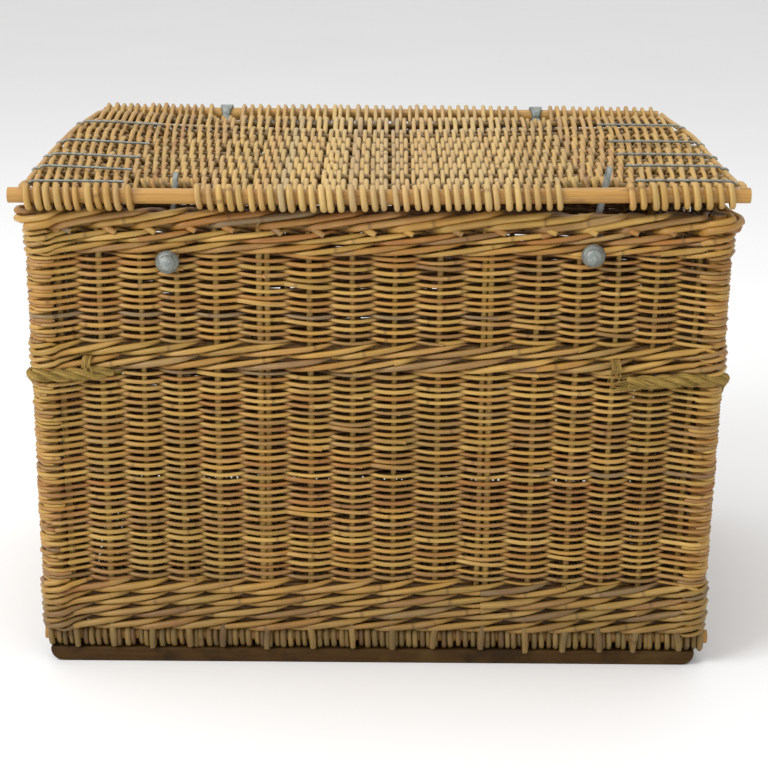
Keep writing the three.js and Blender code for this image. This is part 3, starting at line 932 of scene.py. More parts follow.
@dataclass
class Waling:
    """A band of three-rod waling: each rod passes two stakes in front, one behind."""

    plan: Plan
    name: str
    node: str
    rows: int
    radius: float
    out: float = 7.2
    bulge: float = 2.0
    overhang: float = 0.0
    lining: bool = False
    lining_radius: float = 3.9
    lining_gap: float = 7.6
    seed: int = 41

    def build(self, finish: Finishes) -> None:
        """Builds the whole band round the box.

        Args:
            finish: the finishes.
        """
        low, high = mm_box(self.node)
        rng = np.random.default_rng(self.seed)
        bundle = RodBundle(self.name)
        floor = low[2] - self.overhang
        height = (high[2] - floor) / self.rows
        stations = self.plan.stations()
        first = int(np.argmin(np.abs(stations - self.plan.starts[3])))
        walk = np.concatenate([stations[first:] - self.plan.starts[-1],
                               stations[:first + 1]])
        for row in range(self.rows):
            z = floor + (row + 0.5) * height
            for strand in range(3):
                self._strand(bundle, walk, z, height, strand + row, rng)
        # Lining rods behind the band fill its gaps; their deep value of 0.75 paints them in
        # shade.
        for z in (np.arange(low[2] + 4.0, high[2] + 1.0, self.lining_gap)
                  if self.lining else ()):
            s = np.linspace(0.0, self.plan.starts[-1], 300)
            waves = np.sin(s / 15.0 + z)
            bundle.add(self.plan.points(s, -6.6 - 0.5 * waves, z + 0.6 * waves),
                       self.lining_radius, rng.random(), 0.75)
        dress(bundle.mesh(), finish.willow, Body.HAMPER, [self.node])

    def _strand(self, bundle: RodBundle, walk: np.ndarray, z: float, height: float,
                strand: int, rng: np.random.Generator) -> None:
        """Adds one strand in rods of a few strokes each."""
        start = 0
        last = len(walk) - 1
        while start < last:
            end = min(last, start + int(rng.integers(7, 15)))
            j = np.arange(start * 6, end * 6 + 1) / 6.0
            s = np.interp(j, np.arange(len(walk)), walk)
            tau = np.mod(j + strand, 3.0)
            gap = np.abs(np.mod(tau - 2.0 + 1.5, 3.0) - 1.5)
            side = -np.cos(math.pi * np.clip(gap / 0.95, 0.0, 1.0))
            near = np.min(np.abs(np.mod(s, self.plan.starts[-1])[:, None]
                                 - self.plan.starts[None]), axis=1)
            corner = np.exp(-(near / 22.0) ** 2)
            side = side + (1.0 - side) * corner
            rise = np.where(np.mod(tau + 0.5, 3.0) < 2.0,
                            np.mod(tau + 0.5, 3.0) / 2.0,
                            1.0 - (np.mod(tau + 0.5, 3.0) - 2.0))
            crown = np.sin(math.pi * np.clip(np.mod(tau + 0.5, 3.0) / 2.0, 0.0, 1.0))
            n = self.plan.reach(s, side, self.out, self.bulge) \
                + (3.4 * crown - 1.4) * (1.0 - corner) + rng.normal(0.0, 0.5)
            heights = z + (rise - 0.5) * height * 0.98 + rng.normal(0.0, 0.45)
            radius = self.radius * rng.uniform(0.88, 1.12) \
                * (0.74 + 0.34 * crown - 0.1 * corner) * np.linspace(1.06, 0.9, len(j))
            deep = ease((self.out * 0.6 - n) / (self.out * 1.6))
            bundle.add(self.plan.points(s, n, heights), radius, rng.random(), deep)
            start = end


@dataclass
class RolledBorder:
    """The rolled top edge: every stake is turned down behind the next ones."""

    plan: Plan
    radius: float = 4.25
    out: float = 8.0

    def build(self, finish: Finishes) -> None:
        """Builds the strokes, a core and the cut ends.

        Args:
            finish: the finishes.
        """
        low, high = mm_box("border")
        rng = np.random.default_rng(51)
        strokes, ends = RodBundle("rolled_border"), RodBundle("border_cut_ends")
        stations = self.plan.stations()
        ring = np.concatenate([stations, stations[:5] + self.plan.starts[-1]])
        base, top = low[2] + self.radius - 0.4, high[2] - self.radius
        for j in range(len(stations)):
            t = np.linspace(-0.3, 3.0, 34)
            s = np.interp(j + t, np.arange(len(ring)), ring)
            up = ease((t + 0.3) / 0.5)
            back = ease((t - 1.85) / 0.55)
            side = -0.8 + 1.8 * up - 1.85 * back
            n = self.plan.reach(s, side, self.out, 9.0)
            climb = np.clip((t + 0.1) / 2.0, 0.0, 1.0)
            z = base - 3.0 + 3.0 * up + (top - base) * climb \
                - 5.0 * ease((t - 2.3) / 0.7)
            size = self.radius * rng.uniform(0.9, 1.12) * np.linspace(1.05, 0.85, len(t))
            deep = ease((self.out * 0.5 - n) / (self.out * 1.6))
            points = self.plan.points(s, n + rng.normal(0, 0.4), z + rng.normal(0, 0.5))
            strokes.add(self._dip(points), size, rng.random(), deep)
            self._end(ends, ring, j, base, rng)
        # Two core rods inside the roll, painted in shade by their deep value of 0.6.
        for z, n in ((base + 1.0, -1.5), (top - 5.0, 0.5)):
            s = np.linspace(0.0, self.plan.starts[-1], 260)
            strokes.add(self.plan.points(s, np.full(260, n), np.full(260, z)), 4.2,
                        rng.random(), 0.6)
        dress(strokes.mesh(), finish.willow, Body.HAMPER, ["border"])
        dress(ends.mesh(), finish.willow, Body.HAMPER)

    @staticmethod
    def _dip(points: np.ndarray) -> np.ndarray:
        """Returns points with the front right part of the border sagging a little."""
        front = points[:, 1] < -200.0
        points[:, 2] -= 4.0 * front * np.exp(-((points[:, 0] - 270.0) / 85.0) ** 2)
        return points

    def _end(self, bundle: RodBundle, ring: np.ndarray, j: int, base: float,
             rng: np.random.Generator) -> None:
        """Adds the short slanted end that shows under a stroke."""
        s0 = ring[j] + rng.uniform(4.0, 14.0)
        s = s0 + np.array([-14.0, -2.0, 6.0, rng.uniform(9.0, 13.0)])
        n = np.array([-2.0, 5.0, 9.0, 11.2])
        z = base + np.array([5.0, 0.5, -3.2, -5.4]) + rng.normal(0, 0.8)
        bundle.add(self.plan.points(s, n, z), np.array([4.0, 4.0, 3.9, 3.3]),
                   rng.random(), np.array([0.9, 0.5, 0.1, 0.0]))


# ---------------------------------------------------------------- woven panels
@dataclass
class Matting:
    """A flat woven panel: hairpin rods over cross sticks, between two poles.

    Attributes:
        name: what its pieces are called.
        half_x: half the width that the rods cover.
        front: the front pole's axis, as y and z.
        rear: the rear pole's axis, as y and z.
        pole: the poles' radius.
        rod: the rods' radius.
        gap: the spacing of the hairpins.
        sticks: cross sticks, as y at the middle and y at the ends.
        stick: the sticks' radius.
        front_slots: places along x where rods stop at the first stick.
        rear_slots: the same at the rear.
        wrap: how much thicker a rod is where it goes round the front pole.
        slant: how far a rod moves along the front pole as it goes round it.
    """

    name: str
    half_x: float
    front: tuple[float, float]
    rear: tuple[float, float]
    pole: float
    rod: float
    gap: float
    sticks: tuple[tuple[float, float], ...]
    stick: float = 4.4
    front_slots: tuple[tuple[float, float], ...] = ()
    rear_slots: tuple[tuple[float, float], ...] = ()
    wrap: float = 1.25
    slant: float = 3.0

    def stick_y(self, index: int, x: Union[float, np.ndarray]) -> np.ndarray:
        """Returns a stick's y at x."""
        middle, end = self.sticks[index]
        y = middle + (end - middle) * ease(np.abs(np.asarray(x, float)) / self.half_x)
        if index == len(self.sticks) - 1:
            for centre, half in self.front_slots:
                y = y + 9.0 * np.exp(-((np.asarray(x) - centre) / (half + 6.0)) ** 4)
        return y

    def build_sticks(self, rng: np.random.Generator) -> RodBundle:
        """Returns the cross sticks."""
        bundle = RodBundle(f"{self.name}_cross_sticks")
        z = (self.front[1] + self.rear[1]) / 2.0
        for index in range(len(self.sticks)):
            x = np.linspace(-self.half_x - 4.0, self.half_x + 4.0, 40)
            points = np.column_stack([x, self.stick_y(index, x),
                                      z + 0.8 * np.sin(x / 90.0 + index)])
            bundle.add(points, self.stick * rng.uniform(0.9, 1.08), rng.random(), 0.45)
        return bundle

    def build_rods(self, rng: np.random.Generator) -> RodBundle:
        """Returns the hairpin rods."""
        bundle = RodBundle(f"{self.name}_rods")
        x = -self.half_x + self.gap * 0.5
        while x < self.half_x - self.gap * 0.3:
            self._hairpin(bundle, x + rng.normal(0.0, self.gap * 0.07), rng)
            x += self.gap * rng.uniform(0.9, 1.1)
        return bundle

    def _turn(self, y: float, z: float, radius: float, x0: float, x1: float,
              outward: int, steps: int, slack: float) -> np.ndarray:
        """Returns the points round a pole or stick, from its top to its bottom."""
        angle = np.linspace(72.0, -72.0, steps) * math.pi / 180.0
        droop = radius + slack * ease((10.0 - np.degrees(angle)) / 60.0) \
            * ease((np.degrees(angle) + 95.0) / 40.0)
        t = np.linspace(0.0, 1.0, steps)
        return np.column_stack([x0 + (x1 - x0) * ease(t),
                                y + outward * droop * np.cos(angle),
                                z + droop * np.sin(angle)])

    def _hairpin(self, bundle: RodBundle, x: float, rng: np.random.Generator) -> None:
        """Adds one rod that goes up one line, round the front, and back down the next."""
        last = len(self.sticks) - 1
        front_slot = any(abs(x - c) < h for c, h in self.front_slots)
        rear_slot = any(abs(x - c) < h for c, h in self.rear_slots)
        spread = self.gap * rng.uniform(0.19, 0.25)
        xa, xb = x - spread, x + spread
        lean = rng.normal(0.0, 0.7)
        size = self.rod * rng.uniform(0.86, 1.12)
        seed = rng.random()
        parts = [self._line(xb, -1, front_slot, rear_slot, rng)[::-1]]
        slack = rng.uniform(0.6, 3.2)
        if front_slot:
            y, z, r = float(self.stick_y(last, x)), self.front[1], self.stick + size
            parts.append(self._turn(y, z, r, xa, xb, -1, 7, 0.4)[::-1])
        else:
            y, z = self.front
            x0 = x + lean - self.slant / 2.0
            parts.append(self._turn(y, z, self.pole + size * 1.1, x0, x0 + self.slant,
                                    -1, 11, slack)[::-1])
        parts.append(self._line(xa, 1, front_slot, rear_slot, rng))
        if rear_slot:
            y, z, r = float(self.stick_y(0, x)), self.rear[1], self.stick + size
            parts.append(self._turn(y, z, r, xa, xb, 1, 7, 0.4))
        else:
            y, z = self.rear
            parts.append(self._turn(y, z, self.pole + size, xa, xb + 1.0, 1, 9, 0.8))
        points = np.concatenate(parts)
        middle = (self.front[1] + self.rear[1]) / 2.0
        # Painted shade: points below the panel's middle get a deep value that the finish
        # darkens; next to the front pole only points well below it do.
        deep = ease((middle + 2.0 - points[:, 2]) / 9.0)
        near = points[:, 1] < self.front[0] + self.pole
        deep = np.where(near, ease((middle - 10.0 - points[:, 2]) / 8.0), deep)
        points[:, 2] += rng.normal(0.0, 0.3)
        thick = 1.0 + (self.wrap - 1.0) * ease((self.front[0] + 6.0 - points[:, 1]) / 8.0)
        bundle.add(points, size * thick * np.linspace(1.06, 0.92, len(points)), seed, deep)

    def _line(self, x: float, start: int, front_slot: bool, rear_slot: bool,
              rng: np.random.Generator) -> np.ndarray:
        """Returns a line from front to rear that passes over and under the sticks.

        Args:
            x: where the line runs.
            start: 1 if it starts over the front pole, -1 if under it.
            front_slot: whether it starts at the first stick instead.
            rear_slot: whether it ends at the last stick instead.
            rng: the source of small irregularities.

        Returns:
            Its points.
        """
        height = self.stick + self.rod
        ys, sides = [self.front[0]], [float(start)]
        for back, index in enumerate(range(len(self.sticks) - 1, -1, -1)):
            ys.append(float(self.stick_y(index, x)))
            sides.append(float(-start if back % 2 == 0 else start))
        ys.append(self.rear[0])
        sides.append(-sides[-1])
        if front_slot:
            ys, sides = ys[1:], sides[1:]
        if rear_slot:
            ys, sides = ys[:-1], sides[:-1]
        y, side = [], []
        for i in range(len(ys) - 1):
            t = np.arange(6) / 6.0
            y.append(ys[i] + (ys[i + 1] - ys[i]) * t)
            side.append(sides[i] + (sides[i + 1] - sides[i]) * ease(t))
        y = np.concatenate(y + [[ys[-1]]])
        side = np.concatenate(side + [[sides[-1]]])
        high = np.full(len(y), height)
        pole = self.pole + self.rod
        if not front_slot:
            high = high + (pole - height) * np.exp(-((y - self.front[0]) / 14.0) ** 2)
        if not rear_slot:
            high = high + (pole - height) * np.exp(-((y - self.rear[0]) / 14.0) ** 2)
        middle = (self.front[1] + self.rear[1]) / 2.0
        wave = rng.uniform(0.2, 0.8) * np.sin(y / rng.uniform(35, 80) + rng.uniform(0, 6))
        keep = slice(1, -1)
        return np.column_stack([x + wave, y, middle + side * high])[keep]

    def pole_rod(self, name: str, axis: tuple[float, float], half: float,
                 rng: np.random.Generator) -> RodBundle:
        """Returns one pole with slight swellings at its nodes."""
        bundle = RodBundle(name, 16)
        x = np.linspace(-half, half, 110)
        swell = 0.4 * np.exp(-((np.mod(x + 60.0, 205.0) - 100.0) / 3.5) ** 2)
        points = np.column_stack([x, np.full(110, axis[0]), np.full(110, axis[1])])
        bundle.add(points, self.pole + swell, rng.random())
        return bundle


@dataclass
class Lid:
    """The hinged lid: poles, woven panel and side sticks; its wires are built with the
    hardware.
    """

    half_x: float = 403.0
    gap: float = 11.5
    edge_drop: float = 6.0

    def build(self, finish: Finishes) -> None:
        """Builds the lid's poles, panel and side sticks.

        Args:
            finish: the finishes.
        """
        rng = np.random.default_rng(71)
        low, high = mm_box("lid_front_rail")
        rear_low, rear_high = mm_box("lid_rear_rail")
        front = (float(low[1] + high[1]) / 2.0, float(low[2] + high[2]) / 2.0)
        rear = (float(rear_low[1] + rear_high[1]) / 2.0,
                float(rear_low[2] + rear_high[2]) / 2.0)
        panel = Matting(
            "lid", self.half_x, front, rear, 9.0, 3.05, self.gap,
            ((196, 232), (98, 153), (39, 92), (3, 34), (-52, -24), (-100, -78),
             (-140, -132), (-180, -182), (-238, -236)),
            4.4, ((-242.0, 34.0), (242.0, 34.0)), ((-218.0, 19.0), (218.0, 19.0)))
        half = float(high[0])
        self._piece(panel.build_rods(rng), finish.pale, ["lid_weave"])
        self._piece(panel.build_sticks(rng), finish.stake, [])
        self._piece(panel.pole_rod("lid_front_pole", front, half, rng), finish.cane,
                    ["lid_front_rail"], 0.0)
        self._piece(panel.pole_rod("lid_rear_pole", rear, half - 14.0, rng),
                    finish.cane, ["lid_rear_rail"], 0.0)
        for side in ("left", "right"):
            self._side_stick(side, rng, finish)

    @staticmethod
    def warp(points: np.ndarray, stretch: float = 6.5) -> np.ndarray:
        """Takes points of the lid a little out of true.

        Args:
            points: points of the flat lid, in millimetres.
            stretch: how far the right end reaches out.

        Returns:
            The points of a lid that is lifted at two corners and narrower at the rear.
        """
        x, y = points[:, 0], points[:, 1]
        lift = 5.5 * ease((x + 100.0) / 500.0) * ease((100.0 - y) / 400.0) \
            + 4.0 * ease((-x - 280.0) / 120.0) * ease((270.0 - np.abs(y)) / 40.0)
        narrow = 15.0 * ease((np.abs(x) - 245.0) / 165.0) * ease((y - 60.0) / 220.0)
        wide = stretch * ease((x - 250.0) / 150.0) - np.sign(x) * narrow
        return points + np.column_stack([wide, 0.0 * lift, lift])

    def _piece(self, bundle: RodBundle, material: bpy.types.Material,
               nodes: Sequence[str], stretch: float = 6.5) -> None:
        """Turns a bundle into a piece of the warped lid."""
        for rod in bundle.rods:
            rod.points = self.warp(rod.points, stretch)
        dress(bundle.mesh(), material, Body.LID, nodes)

    def _side_stick(self, side: str, rng: np.random.Generator,
                    finish: Finishes) -> None:
        """Builds the stick that edges one end of the lid."""
        node = f"lid_side_stick_{side}"
        low, high = mm_box(node)
        y = np.linspace(low[1] + 9.0, high[1], 40)
        x = (low[0] + high[0]) / 2.0 * 0.994 + 0.8 * np.sin(y / 60.0)
        over = high[2] - 6.0 - Lid.edge_drop * ease((y - low[1] - 26.0) / 30.0)
        z = over + 0.6 * np.sin(y / 85.0 + 1.0)
        bundle = RodBundle(f"lid_edge_{side}", 12)
        bundle.add(np.column_stack([x, y, z]), 3.6, rng.random(), 0.1)
        self._piece(bundle, finish.pale, [node])


@dataclass
class BaseMat:
    """The woven floor, wrapped round a pole at the front and one at the rear."""

    def build(self, finish: Finishes) -> None:
        """Builds the floor.

        Args:
            finish: the finishes.
        """
        rng = np.random.default_rng(81)
        low, high = mm_box("base_front_rail")
        front = (float(low[1] + high[1]) / 2.0, float(low[2] + high[2]) / 2.0)
        panel = Matting("base", 400.0, front, (-front[0], front[1]), 8.3, 3.05, 8.4,
                        tuple((float(y), float(y)) for y in np.linspace(210, -210, 9)),
                        wrap=1.2, slant=1.0)
        dress(panel.build_rods(rng).mesh(), finish.butt, Body.HAMPER,
              ["base_mat"])
        dress(panel.build_sticks(rng).mesh(), finish.stake, Body.HAMPER)
        for name, axis, node in (
                ("base_front_pole", panel.front, "base_front_rail"),
                ("base_rear_pole", panel.rear, "base_rear_rail")):
            dress(panel.pole_rod(name, axis, float(high[0]), rng).mesh(), finish.cane,
                  Body.HAMPER, [node])


# ---------------------------------------------------------------- carried-over solids
@dataclass
class Softened:
    """A CAD solid whose hard edges are broken, as a forged or worn piece's are."""

    node: str
    name: str
    body: Body
    slot: str
    bevel: float
    segments: int = 2
    reshape: Optional[Callable[[bmesh.types.BMesh], None]] = None

    def build(self, material: bpy.types.Material) -> bpy.types.Object:
        """Returns the piece.

        Args:
            material: its finish.

        Returns:
            The piece, in place of its CAD node.
        """
        mesh = bpy.data.meshes.new(self.name)
        bm = bmesh.new()
        bm.from_mesh(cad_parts[self.node].data)
        bmesh.ops.remove_doubles(bm, verts=bm.verts, dist=0.01 * MM)
        bmesh.ops.dissolve_limit(bm, angle_limit=math.radians(1.0), verts=bm.verts,
                                 edges=bm.edges)
        sharp = [e for e in bm.edges if e.is_manifold
                 and e.calc_face_angle(0.0) > math.radians(35)]
        bmesh.ops.bevel(bm, geom=sharp, offset=self.bevel * MM, segments=self.segments,
                        profile=0.5, affect="EDGES", material=-1, clamp_overlap=True,
                        offset_type="OFFSET")
        if self.reshape:
            self.reshape(bm)
        bm.to_mesh(mesh)
        bm.free()
        mesh.shade_smooth()
        mesh.set_sharp_from_angle(angle=math.radians(40))
        piece = bpy.data.objects.new(self.name, mesh)
        bpy.context.scene.collection.objects.link(piece)
        return dress(piece, material, self.body, [self.node])


@dataclass
class Hardware:
    """Runners, hasps, hinge eyes, bolts, cup washers, nuts and wires."""

    def build(self, finish: Finishes) -> None:
        """Builds the timber and the steel.

        Args:
            finish: the finishes.
        """
        for where in ("front", "rear"):
            Softened(f"runner_{where}", f"runner_board_{where}", Body.HAMPER,
                     "dark_wood", 1.6, 3).build(finish.timber)
        for side, body in (("left", Body.HASP_LEFT), ("right", Body.HASP_RIGHT)):
            Softened(f"hasp_{side}", f"hasp_bar_{side}", body, "galvanised_steel",
                     0.5).build(finish.steel)
            Softened(f"hinge_eye_{side}", f"hinge_strap_{side}", Body.HAMPER,
                     "galvanised_steel", 2.2, 3, self._taper).build(finish.steel)
            for where in ("front", "rear"):
                end = f"{where}_{side}"
                Softened(f"bolt_{end}", f"carriage_bolt_{end}", Body.HAMPER,
                         "galvanised_steel", 0.4).build(finish.steel)
                Softened(f"cup_washer_{end}", f"cup_{end}", Body.HAMPER,
                         "galvanised_steel", 0.4).build(finish.steel)
                Softened(f"nut_{end}", f"hex_nut_{end}", Body.HAMPER,
                         "galvanised_steel", 0.5).build(finish.steel)
            for i in range(1, 6):
                self._wire(side, i, finish)

    @staticmethod
    def _taper(bm: bmesh.types.BMesh) -> None:
        """Narrows a hinge eye towards its front, as a forged tongue is."""
        middle = sum(v.co.x for v in bm.verts) / len(bm.verts)
        axis = max(v.co.y for v in bm.verts) - 0.0135
        for vert in bm.verts:
            if vert.co.z > 0.5725:
                front = min(max((axis + 0.003 - vert.co.y) / 0.0155, 0.0), 1.0)
                vert.co.x = middle + (vert.co.x - middle) * (1.0 - 0.5 * front ** 2)

    def _wire(self, side: str, index: int, finish: Finishes) -> None:
        """Builds one wire that lies on the lid and hooks over its side stick."""
        node = f"lid_wire_{side}_{index}"
        low, high = mm_box(node)
        sign = -1.0 if side == "left" else 1.0
        inner = min(abs(low[0]), abs(high[0]))
        y, z = (low[1] + high[1]) / 2.0, low[2] + 1.5
        flat = np.linspace(inner, 389.0, 16)
        rng = np.random.default_rng(90 + index + (5 if sign > 0 else 0))
        bow = 1.4 * np.sin(np.linspace(0, math.pi, 16) + rng.uniform(-1, 1))
        stick = np.radians([128, 112, 98, 84, 70, 56, 42, 28, 12])
        x = np.concatenate([flat, [394.0, 397.5], 403.6 + 4.6 * np.cos(stick)])
        level = high[2] - 1.5 - 8.3 - Lid.edge_drop
        zs = np.concatenate([np.full(16, 592.0), [591.8, 591.2],
                             level + 4.6 * np.sin(stick)])
        ys = y + np.concatenate([bow, np.full(len(x) - 16, bow[-1])])
        bundle = RodBundle(f"tie_wire_{side}_{index}")
        bundle.add(Lid.warp(np.column_stack([sign * x, ys, zs])), 1.5, rng.random())
        dress(bundle.mesh(), finish.steel, Body.LID, [node])


# ---------------------------------------------------------------- ropes
@dataclass
class RopeHandle:
    """A three-strand sisal rope that runs along the front, down the side and back."""

    side: str
    sign: float
    radius: float = 8.5
    lay: float = 66.0
    stray_fibres: int = 340
    frayed_fibres: int = 46

    def route(self) -> np.ndarray:
        """Returns the rope's centre line, in millimetres, from front to rear."""
        tuck = [[292, -286.0, 361], [318, -287.0, 363], [350, -286.5, 365]] \
            if self.sign > 0 else [[312, -274.0, 369], [330, -281.0, 368],
                                   [350, -285.0, 367]]
        corner = tuck + [[372, -285.5, 366], [384, -285.5, 366], [394, -284.0, 366],
                         [401.5, -278.8, 365], [404.6, -271, 363]]
        hang = [[404.8, -262, 360], [405.0, -252, 355], [405.4, -235, 344],
                [406.2, -205, 320], [407.0, -170, 295], [407.8, -125, 267],
                [408.2, -75, 245]]
        half = np.array(corner + hang, float)
        back = half[::-1] * [1.0, -1.0, 1.0]
        line = np.concatenate([half, [[408.2, 0.0, 234.0]], back])
        line[:, 0] *= self.sign
        return self._smooth(line, 3.0)

    @staticmethod
    def _smooth(line: np.ndarray, step: float) -> np.ndarray:
        """Returns a Catmull-Rom curve through points, at an even step."""
        ends = np.concatenate([[2 * line[0] - line[1]], line, [2 * line[-1] - line[-2]]])
        t = np.linspace(0, 1, 12, endpoint=False)[:, None]
        made = []
        for a, b, c, d in zip(ends, ends[1:], ends[2:], ends[3:]):
            made.append(0.5 * (2 * b + (c - a) * t + (2 * a - 5 * b + 4 * c - d) * t ** 2
                               + (3 * b - a - 3 * c + d) * t ** 3))
        fine = np.concatenate(made + [line[-1:]])
        far = np.concatenate([[0], np.cumsum(np.linalg.norm(np.diff(fine, axis=0),
                                                            axis=1))])
        even = np.linspace(0, far[-1], int(far[-1] / step) + 1)
        return np.column_stack([np.interp(even, far, fine[:, i]) for i in range(3)])

    def build(self, finish: Finishes) -> None:
        """Args:
            finish: the finishes.
        """
        line = self.route()
        bundle = RodBundle(f"rope_handle_{self.side}", 12)
        tangent = np.gradient(line, axis=0)
        tangent /= np.linalg.norm(tangent, axis=1)[:, None]
        normal = [np.array([0.0, 0.0, 1.0])]
        for t in tangent:
            n = normal[-1] - t * np.dot(normal[-1], t)
            normal.append(n / np.linalg.norm(n))
        normal = np.array(normal[1:])
        other = np.cross(tangent, normal)
        length = float(np.sum(np.linalg.norm(np.diff(line, axis=0), axis=1)))
        angle = np.linspace(0.0, length, len(line)) / self.lay * 2.0 * math.pi
        rng = np.random.default_rng(101 if self.sign > 0 else 102)
        for strand in range(3):
            a = angle + strand * 2.0 * math.pi / 3.0
            wide = self.radius * 0.51
            points = line + wide * (np.cos(a)[:, None] * normal
                                    + np.sin(a)[:, None] * other)
            bundle.add(points, self.radius * 0.5, rng.random())
        self._fuzz(bundle, line, normal, other, rng)
        fray = RodBundle(f"rope_fray_{self.side}")
        self._frayed(fray, line[0], -tangent[0], rng)
        self._frayed(fray, line[-1], tangent[-1], rng)
        frayed = dress(fray.mesh(), finish.sisal, Body.HAMPER)
        rope = bundle.mesh()
        nodes = [f"rope_{self.side}_{part}" for part in
                 ("front_tuck", "handle", "rear_tuck")]
        dress(rope, finish.sisal, None, nodes)
        2 * self.radius * MM
        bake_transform(rope)

    def _frayed(self, bundle: RodBundle, root: np.ndarray, way: np.ndarray,
                rng: np.random.Generator) -> None:
        """Adds the loose fibres at a cut end of the rope."""
        for _ in range(self.frayed_fibres):
            spread = rng.normal(0.0, 1.0, 3)
            spread[1] *= 0.5
            start = root - way * 3.0 + spread * self.radius * 0.42
            length = rng.uniform(6.0, 17.0)
            bend = rng.normal(0.0, 0.16, 3) + [0.0, 0.0, -0.12]
            points = [start, start + (way + 0.3 * bend) * length * 0.5,
                      start + (way + bend) * length]
            bundle.add(np.array(points), np.array([0.9, 0.75, 0.3]), rng.random())

    def ties(self, finish: Finishes) -> None:
        """Builds the raffia that is wound round a rod of the middle band."""
        rng = np.random.default_rng(111 if self.sign > 0 else 112)
        bundle = RodBundle(f"raffia_tie_{self.side}")
        middle = 276.0 if self.sign > 0 else 338.0
        for turn in range(6):
            angle = np.linspace(-0.2, 1.2, 12) * math.pi
            size = 6.6 + rng.uniform(-0.4, 0.5)
            x = middle + (turn - 2.5) * 1.9 + rng.uniform(-0.5, 0.5)
            points = np.column_stack([self.sign * (x + 0.9 * angle),
                                      -282.6 - size * np.sin(angle),
                                      381.0 + (size + 1.0) * np.cos(angle)])
            bundle.add(points, rng.uniform(0.6, 1.0), rng.random())
        for _ in range(5):
            x = middle + rng.uniform(-6, 6)
            points = np.array([[x, -287.0, 377.0], [x + rng.uniform(-2, 2), -289.5, 371.0],
                               [x + rng.uniform(-5, 5), -290.5, rng.uniform(360, 367)]])
            bundle.add(points * [self.sign, 1.0, 1.0], np.array([0.7, 0.5, 0.25]),
                       rng.random())
        dress(bundle.mesh(), finish.raffia, Body.HAMPER)

    def _fuzz(self, bundle: RodBundle, line: np.ndarray, normal: np.ndarray,
              other: np.ndarray, rng: np.random.Generator) -> None:
        """Adds short stray fibres that stand off the rope."""
        for _ in range(self.stray_fibres):
            i = int(rng.integers(2, len(line) - 4))
            a = rng.uniform(0, 2 * math.pi)
            out = math.cos(a) * normal[i] + math.sin(a) * other[i]
            along = line[i + 2] - line[i]
            along = along / np.linalg.norm(along) * rng.choice([-1.0, 1.0])
            length = rng.uniform(4.0, 11.0)
            root = line[i] + out * self.radius * 0.86
            points = [root, root + along * length * 0.5 + out * 0.9,
                      root + along * length + out * rng.uniform(1.2, 3.4)]
            bundle.add(np.array(points), np.array([0.34, 0.26, 0.14]), rng.random())


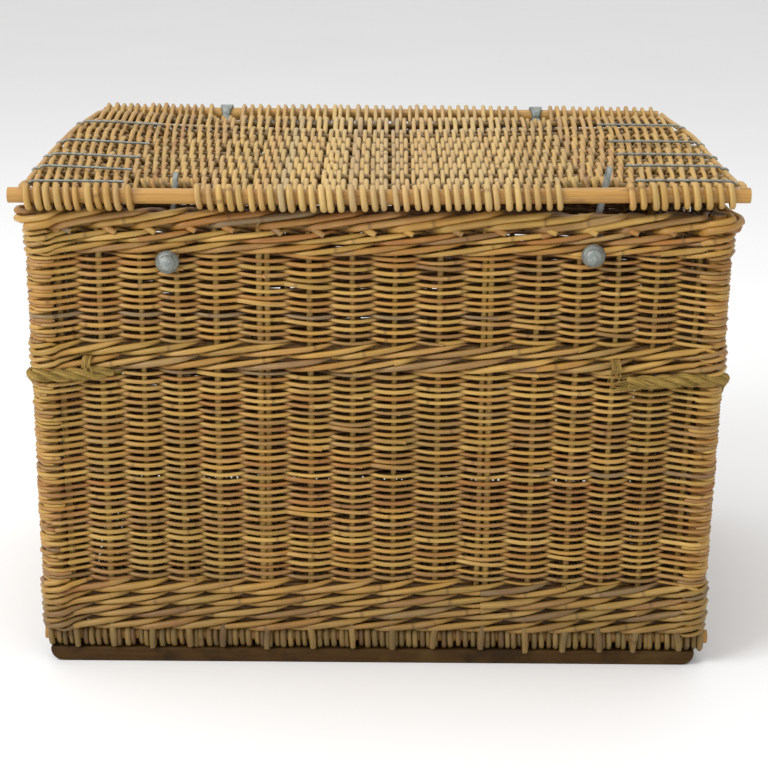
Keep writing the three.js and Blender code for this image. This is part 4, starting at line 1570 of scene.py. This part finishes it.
# ---------------------------------------------------------------- the studio
@dataclass
class Studio:
    """The floor, the lights and the camera."""

    def camera(self) -> None:
        """Places the camera."""
        yaw, pitch, roll = (math.radians(a) for a in (-0.07, 16.96, 0.41))
        forward = Vector((math.sin(yaw) * math.cos(pitch),
                          math.cos(yaw) * math.cos(pitch), -math.sin(pitch)))
        right = Vector((math.cos(yaw), -math.sin(yaw), 0.0))
        up = right.cross(forward)
        across = math.cos(roll) * right + math.sin(roll) * up
        above = math.cos(roll) * up - math.sin(roll) * right
        data = bpy.data.cameras.new("camera")
        data.sensor_width, data.lens = 36.0, 1965.0 / 768.0 * 36.0
        data.clip_end = 100.0
        camera = bpy.data.objects.new("camera", data)
        turn = Matrix((across, above, -forward)).transposed()
        camera.matrix_world = Matrix.Translation((0.010, -2.479, 1.027)) @ turn.to_4x4()
        bpy.context.scene.collection.objects.link(camera)
        bpy.context.scene.camera = camera

    def light(self, name: str, place: tuple, aim: tuple, size: float,
              power: float) -> None:
        """Adds one square soft light.

        Args:
            name: its name.
            place: where it stands.
            aim: the point it faces.
            size: its side, in metres.
            power: its power, in watts.
        """
        data = bpy.data.lights.new(name, "AREA")
        data.size, data.energy = size, power
        lamp = bpy.data.objects.new(name, data)
        lamp.location = place
        lamp.rotation_euler = (Vector(aim) - Vector(place)).to_track_quat("-Z", "Y").to_euler()
        bpy.context.scene.collection.objects.link(lamp)

    def build(self) -> None:
        """Builds the floor, the sky and the lights."""
        bm = bmesh.new()
        bmesh.ops.create_grid(bm, x_segments=1, y_segments=1, size=40.0)
        mesh = bpy.data.meshes.new("studio_floor")
        bm.to_mesh(mesh)
        bm.free()
        floor = bpy.data.objects.new("studio_floor", mesh)
        bpy.context.scene.collection.objects.link(floor)
        b = Bench("studio_floor")
        tone = b.noise(b.place(), 1.5, 2.0)
        mesh.materials.append(b.finish(
            b.mix(tone, (0.86, 0.86, 0.855, 1.0), (0.9, 0.9, 0.9, 1.0)), 0.75,
            Specular_IOR_Level=0.1))
        world = bpy.data.worlds.new("studio_sky")
        world.use_nodes = True
        back = world.node_tree.nodes["Background"]
        back.inputs[0].default_value = (1.0, 1.0, 1.0, 1.0)
        back.inputs[1].default_value = 0.8
        bpy.context.scene.world = world
        self.light("key_light", (-2.5, -2.0, 2.7), (0, 0, 0.3), 1.8, 99.0)
        self.light("fill_light", (2.4, -2.8, 1.6), (0, 0, 0.3), 2.4, 7.0)
        self.light("top_light", (0.0, 0.6, 3.2), (0, 0, 0.4), 2.6, 30.0)
        bpy.context.scene.view_settings.view_transform = "Standard"


def main() -> None:
    """Builds the hamper in order."""
    logging.basicConfig(level=logging.INFO, format="%(message)s")
    studio = Studio()
    studio.camera()
    finish = Finishes()
    for side, sign in (("left", -1.0), ("right", 1.0)):
        rope = RopeHandle(side, sign)
        rope.build(finish)
        rope.ties(finish)
    front_low, front_high = mm_box("weave_front_lower")
    right_low, right_high = mm_box("weave_right_lower")
    upper_low, upper_high = mm_box("weave_front_upper")
    plan = Plan(float(right_low[0] + right_high[0]) / 2.0,
                -float(front_low[1] + front_high[1]) / 2.0)
    Stakes(plan, 24.0, float(mm_box("border")[1][2]) - 5.0).build(finish)
    WallWeave(plan, "lower", float(front_low[2]), float(front_high[2])).build(finish)
    WallWeave(plan, "upper", float(upper_low[2]), float(upper_high[2])).build(finish)
    Waling(plan, "base_waling", "base_wale", 4, 3.7, overhang=5.0, lining=True,
           seed=41).build(finish)
    Waling(plan, "middle_waling", "mid_wale", 2, 3.4, lining=True, seed=42).build(finish)
    Waling(plan, "top_waling", "top_wale", 2, 3.3, seed=43).build(finish)
    RolledBorder(plan).build(finish)
    BaseMat().build(finish)
    Lid().build(finish)
    Hardware().build(finish)
    studio.build()


if __name__ == "__main__":
    main()
